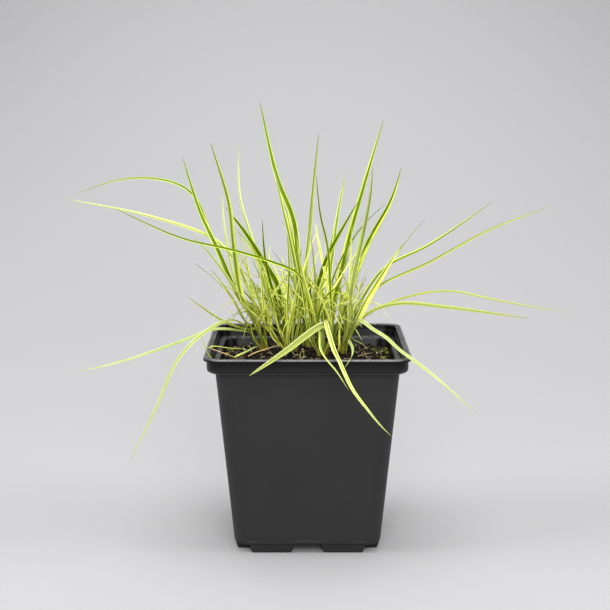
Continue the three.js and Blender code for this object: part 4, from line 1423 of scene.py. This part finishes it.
# The foot: lime in lines, more with the tone; then shade low in the tuft, on the feet of leaves whose own
# number says so; then brown just over the soil. Each is a product of masks by height z and by nearFoot.
def footColours(tree, leaf, narrow, colour):
    looks = leafLooks
    z, nearFoot = leaf["z"], leaf["nearFoot"]
    lime = product(tree, nearFoot, smoothStep(tree, narrow, *looks["footLines"]))
    lime = product(tree, lime, linear(tree, leaf["tone"], *looks["footTone"]))
    colour = mixColours(tree, lime, colour, looks["lime"])
    low = product(tree, smoothStep(tree, z, *looks["lowHeight"]),
                  smoothStep(tree, nearFoot, *looks["lowNear"]))
    low = product(tree, low, smoothStep(tree, leaf["ownMiddle"], *looks["lowOwn"]))
    colour = mixColours(tree, product(tree, low, looks["lowShare"]), colour, looks["shade"])
    atSoil = product(tree, smoothStep(tree, z, *looks["soilHeight"]),
                     smoothStep(tree, nearFoot, *looks["soilNear"]))
    return mixColours(tree, product(tree, atSoil, looks["soiledShare"]), colour, looks["soiled"])


# The stripes, times the fine lines; then olive by the tint, the foot's colours, and olive again at the tip.
# Some of the light comes through.
def grassMaterial():
    looks = leafLooks
    material, tree = newMaterial("variegatedGrass")
    leaf = leafValues(tree)
    narrow = leafNoise(tree, leaf, *looks["narrow"])
    fine = leafNoise(tree, leaf, *looks["fine"])
    inLine = smoothStep(tree, fine, *looks["fineLines"])
    lines = mixColours(tree, inLine, looks["lineDark"], looks["lineLight"])
    colour = mixColours(tree, 1.0, stripeColours(tree, leaf, narrow), lines, "MULTIPLY")
    colour = mixColours(tree, leaf["olive"], colour, looks["olive"])
    colour = footColours(tree, leaf, narrow, colour)
    atTip = product(tree, smoothStep(tree, leaf["along"], *looks["tipFrom"]), looks["tipShare"])
    colour = mixColours(tree, atTip, colour, looks["olive"])
    normal = bump(tree, fine, *looks["fineBump"])
    shader = surface(tree, colour, looks["roughness"], looks["specular"], normal)
    through = mixColours(tree, looks["throughShare"], colour, looks["through"])
    light = node(tree, "ShaderNodeBsdfTranslucent", {"Color": through, "Normal": normal}).outputs[0]
    mixed = node(tree, "ShaderNodeMixShader", {0: looks["letThrough"], 1: shader, 2: light})
    finishMaterial(tree, mixed.outputs[0])
    return material


def grassPiece(name, parts, material, replaced=()):
    makePiece(name, joined([part["shape"] for part in parts]), material, "leaf", replaced,
              np.concatenate([part["uv"] for part in parts]),
              {key: np.concatenate([part[key] for part in parts]) for key in ("looks", "grown")})


# The tints that the short leaves draw from, and the sheaths
shortTints = ["dark", "dark", "green", "bright", "yellow", "yellow", "yellow", "yellow", "yellow", "pale"]
sheathTints = ["dark", "green", "bright", "yellow", "yellow", "yellow"]


def makeTiller(k, tiller, material, draw):
    parts = [sheathPart(tiller, leafTints[draw.choice(sheathTints)], draw.uniform())]
    for leaf in tiller["leaves"]:
        tint = leaf["tint"] or draw.choice(shortTints)
        if not leaf["tint"]:
            leaf["width"] *= bladeShape["slimShare"]
        aside = tiller["pull"] + leaf.get("apart", 0)
        stem = [tiller["foot"] + aside, tiller["neck"] + aside]
        parts.append(bladePart(leaf, leafTints[tint], draw.uniform(), stem))
    number = f"{k + 1:02d}"
    grassPiece("grassTiller_" + number, parts, material, ("tiller_" + number,))


tillers = placeTillers()
addReachingLeaves(tillers)
addShortLeaves(tillers)
addThinLeaves(tillers)
print("leaves laid out:", sum(len(tiller["leaves"]) for tiller in tillers))
grassFinish = grassMaterial()
bladeDraw = np.random.default_rng(bladeShape["seed"])
for k, tiller in enumerate(tillers):
    makeTiller(k, tiller, grassFinish, bladeDraw)
print("tillers made")


# Loose bits: small blades and wisps, and dead straws on the soil and the rim. Widths and points in mm.
looseBlades = [  # width, tint, points
    [2.3, "cream", [[-48, -8, 120], [-42, 3, 121], [-37, 12, 122], [-33, 20, 123]]],
    [2.2, "dull", [[-62, -33, 131.6], [-60, -25, 130.8], [-49, 0, 124.5], [-40, 15, 121.5]]],
    [1.4, "olive",
     [[-57, -46, 116], [-59.5, -50, 127], [-62.5, -51, 132.6], [-65.5, -48, 139], [-67.4, -45, 143]]],
    [0.5, "cream", [[-5, -15, 121], [-4.4, -11, 124], [-3.5, -8, 125], [-2.6, -11, 124], [-2, -16, 121]]],
    [0.9, "cream", [[26, -5, 140], [30, -10, 140.6], [33, -14, 137], [35.5, -18, 133]]],
    [0.9, "dull", [[26, -4, 136], [29, -5, 132.5], [37, 0, 127], [40, 3, 122.5]]],
    [0.5, "cream", [[34, 4, 150], [36, 3, 163], [39, 1, 176], [41.4, 0, 184]]],
]
looseStraws = [  # width, points
    [1.2, [[-39, -6, 120.5], [-34, 0, 122], [-28, 5, 123], [-22, 8, 124.5], [-17, 10, 126]]],
    [0.7, [[-64, -30, 131.4], [-54, -36, 129], [-44, -61, 130.9]]],
    [0.4, [[33, -8, 121], [38, 0, 120.8], [44, 8, 120.3]]],
    [0.5, [[-56, 8, 119.5], [-50, 6, 120.5], [-46, 12, 120.5]]],
]
looseShape = {
    "looks": (0.0, -0.6, 0.8),
    "own": (0.13, 7.3),  # the first blade's own number, and how many blades on it is one more
}
strawLooks = {
    "scale": (6.0, 2.0),  # of the noise, across and along
    "dark": (0.26, 0.15, 0.05, 1),
    "light": (0.60, 0.43, 0.21, 1),
    "roughness": 0.6,
}


# Dead straw: a mix of dark and light orange-brown by a noise drawn out along it
def strawMaterial():
    looks = strawLooks
    material, tree = newMaterial("deadStraw")
    sockets = split(tree, leafMap(tree))
    inputs = {k: product(tree, sockets[k], scale) for k, scale in enumerate(looks["scale"])}
    lines = noise(tree, node(tree, "ShaderNodeCombineXYZ", inputs).outputs[0], 1.0, 2)
    colour = mixColours(tree, lines, looks["dark"], looks["light"])
    finishMaterial(tree, surface(tree, colour, looks["roughness"]))
    return material


def looseParts(rows):
    first, run = looseShape["own"]
    parts = []
    for place, (width, tint, points) in enumerate(rows):
        leaf = makeLeaf(width * mm, np.array(looseShape["looks"]), 0, 0, list(np.array(points) * mm))
        parts.append(bladePart(leaf, leafTints[tint], first + place / run))
    return parts


grassPiece("looseBlades", looseParts(looseBlades), grassFinish)
straws = [[width, "dull", points] for width, points in looseStraws]
grassPiece("looseStraws", looseParts(straws), strawMaterial())
print("loose bits made")
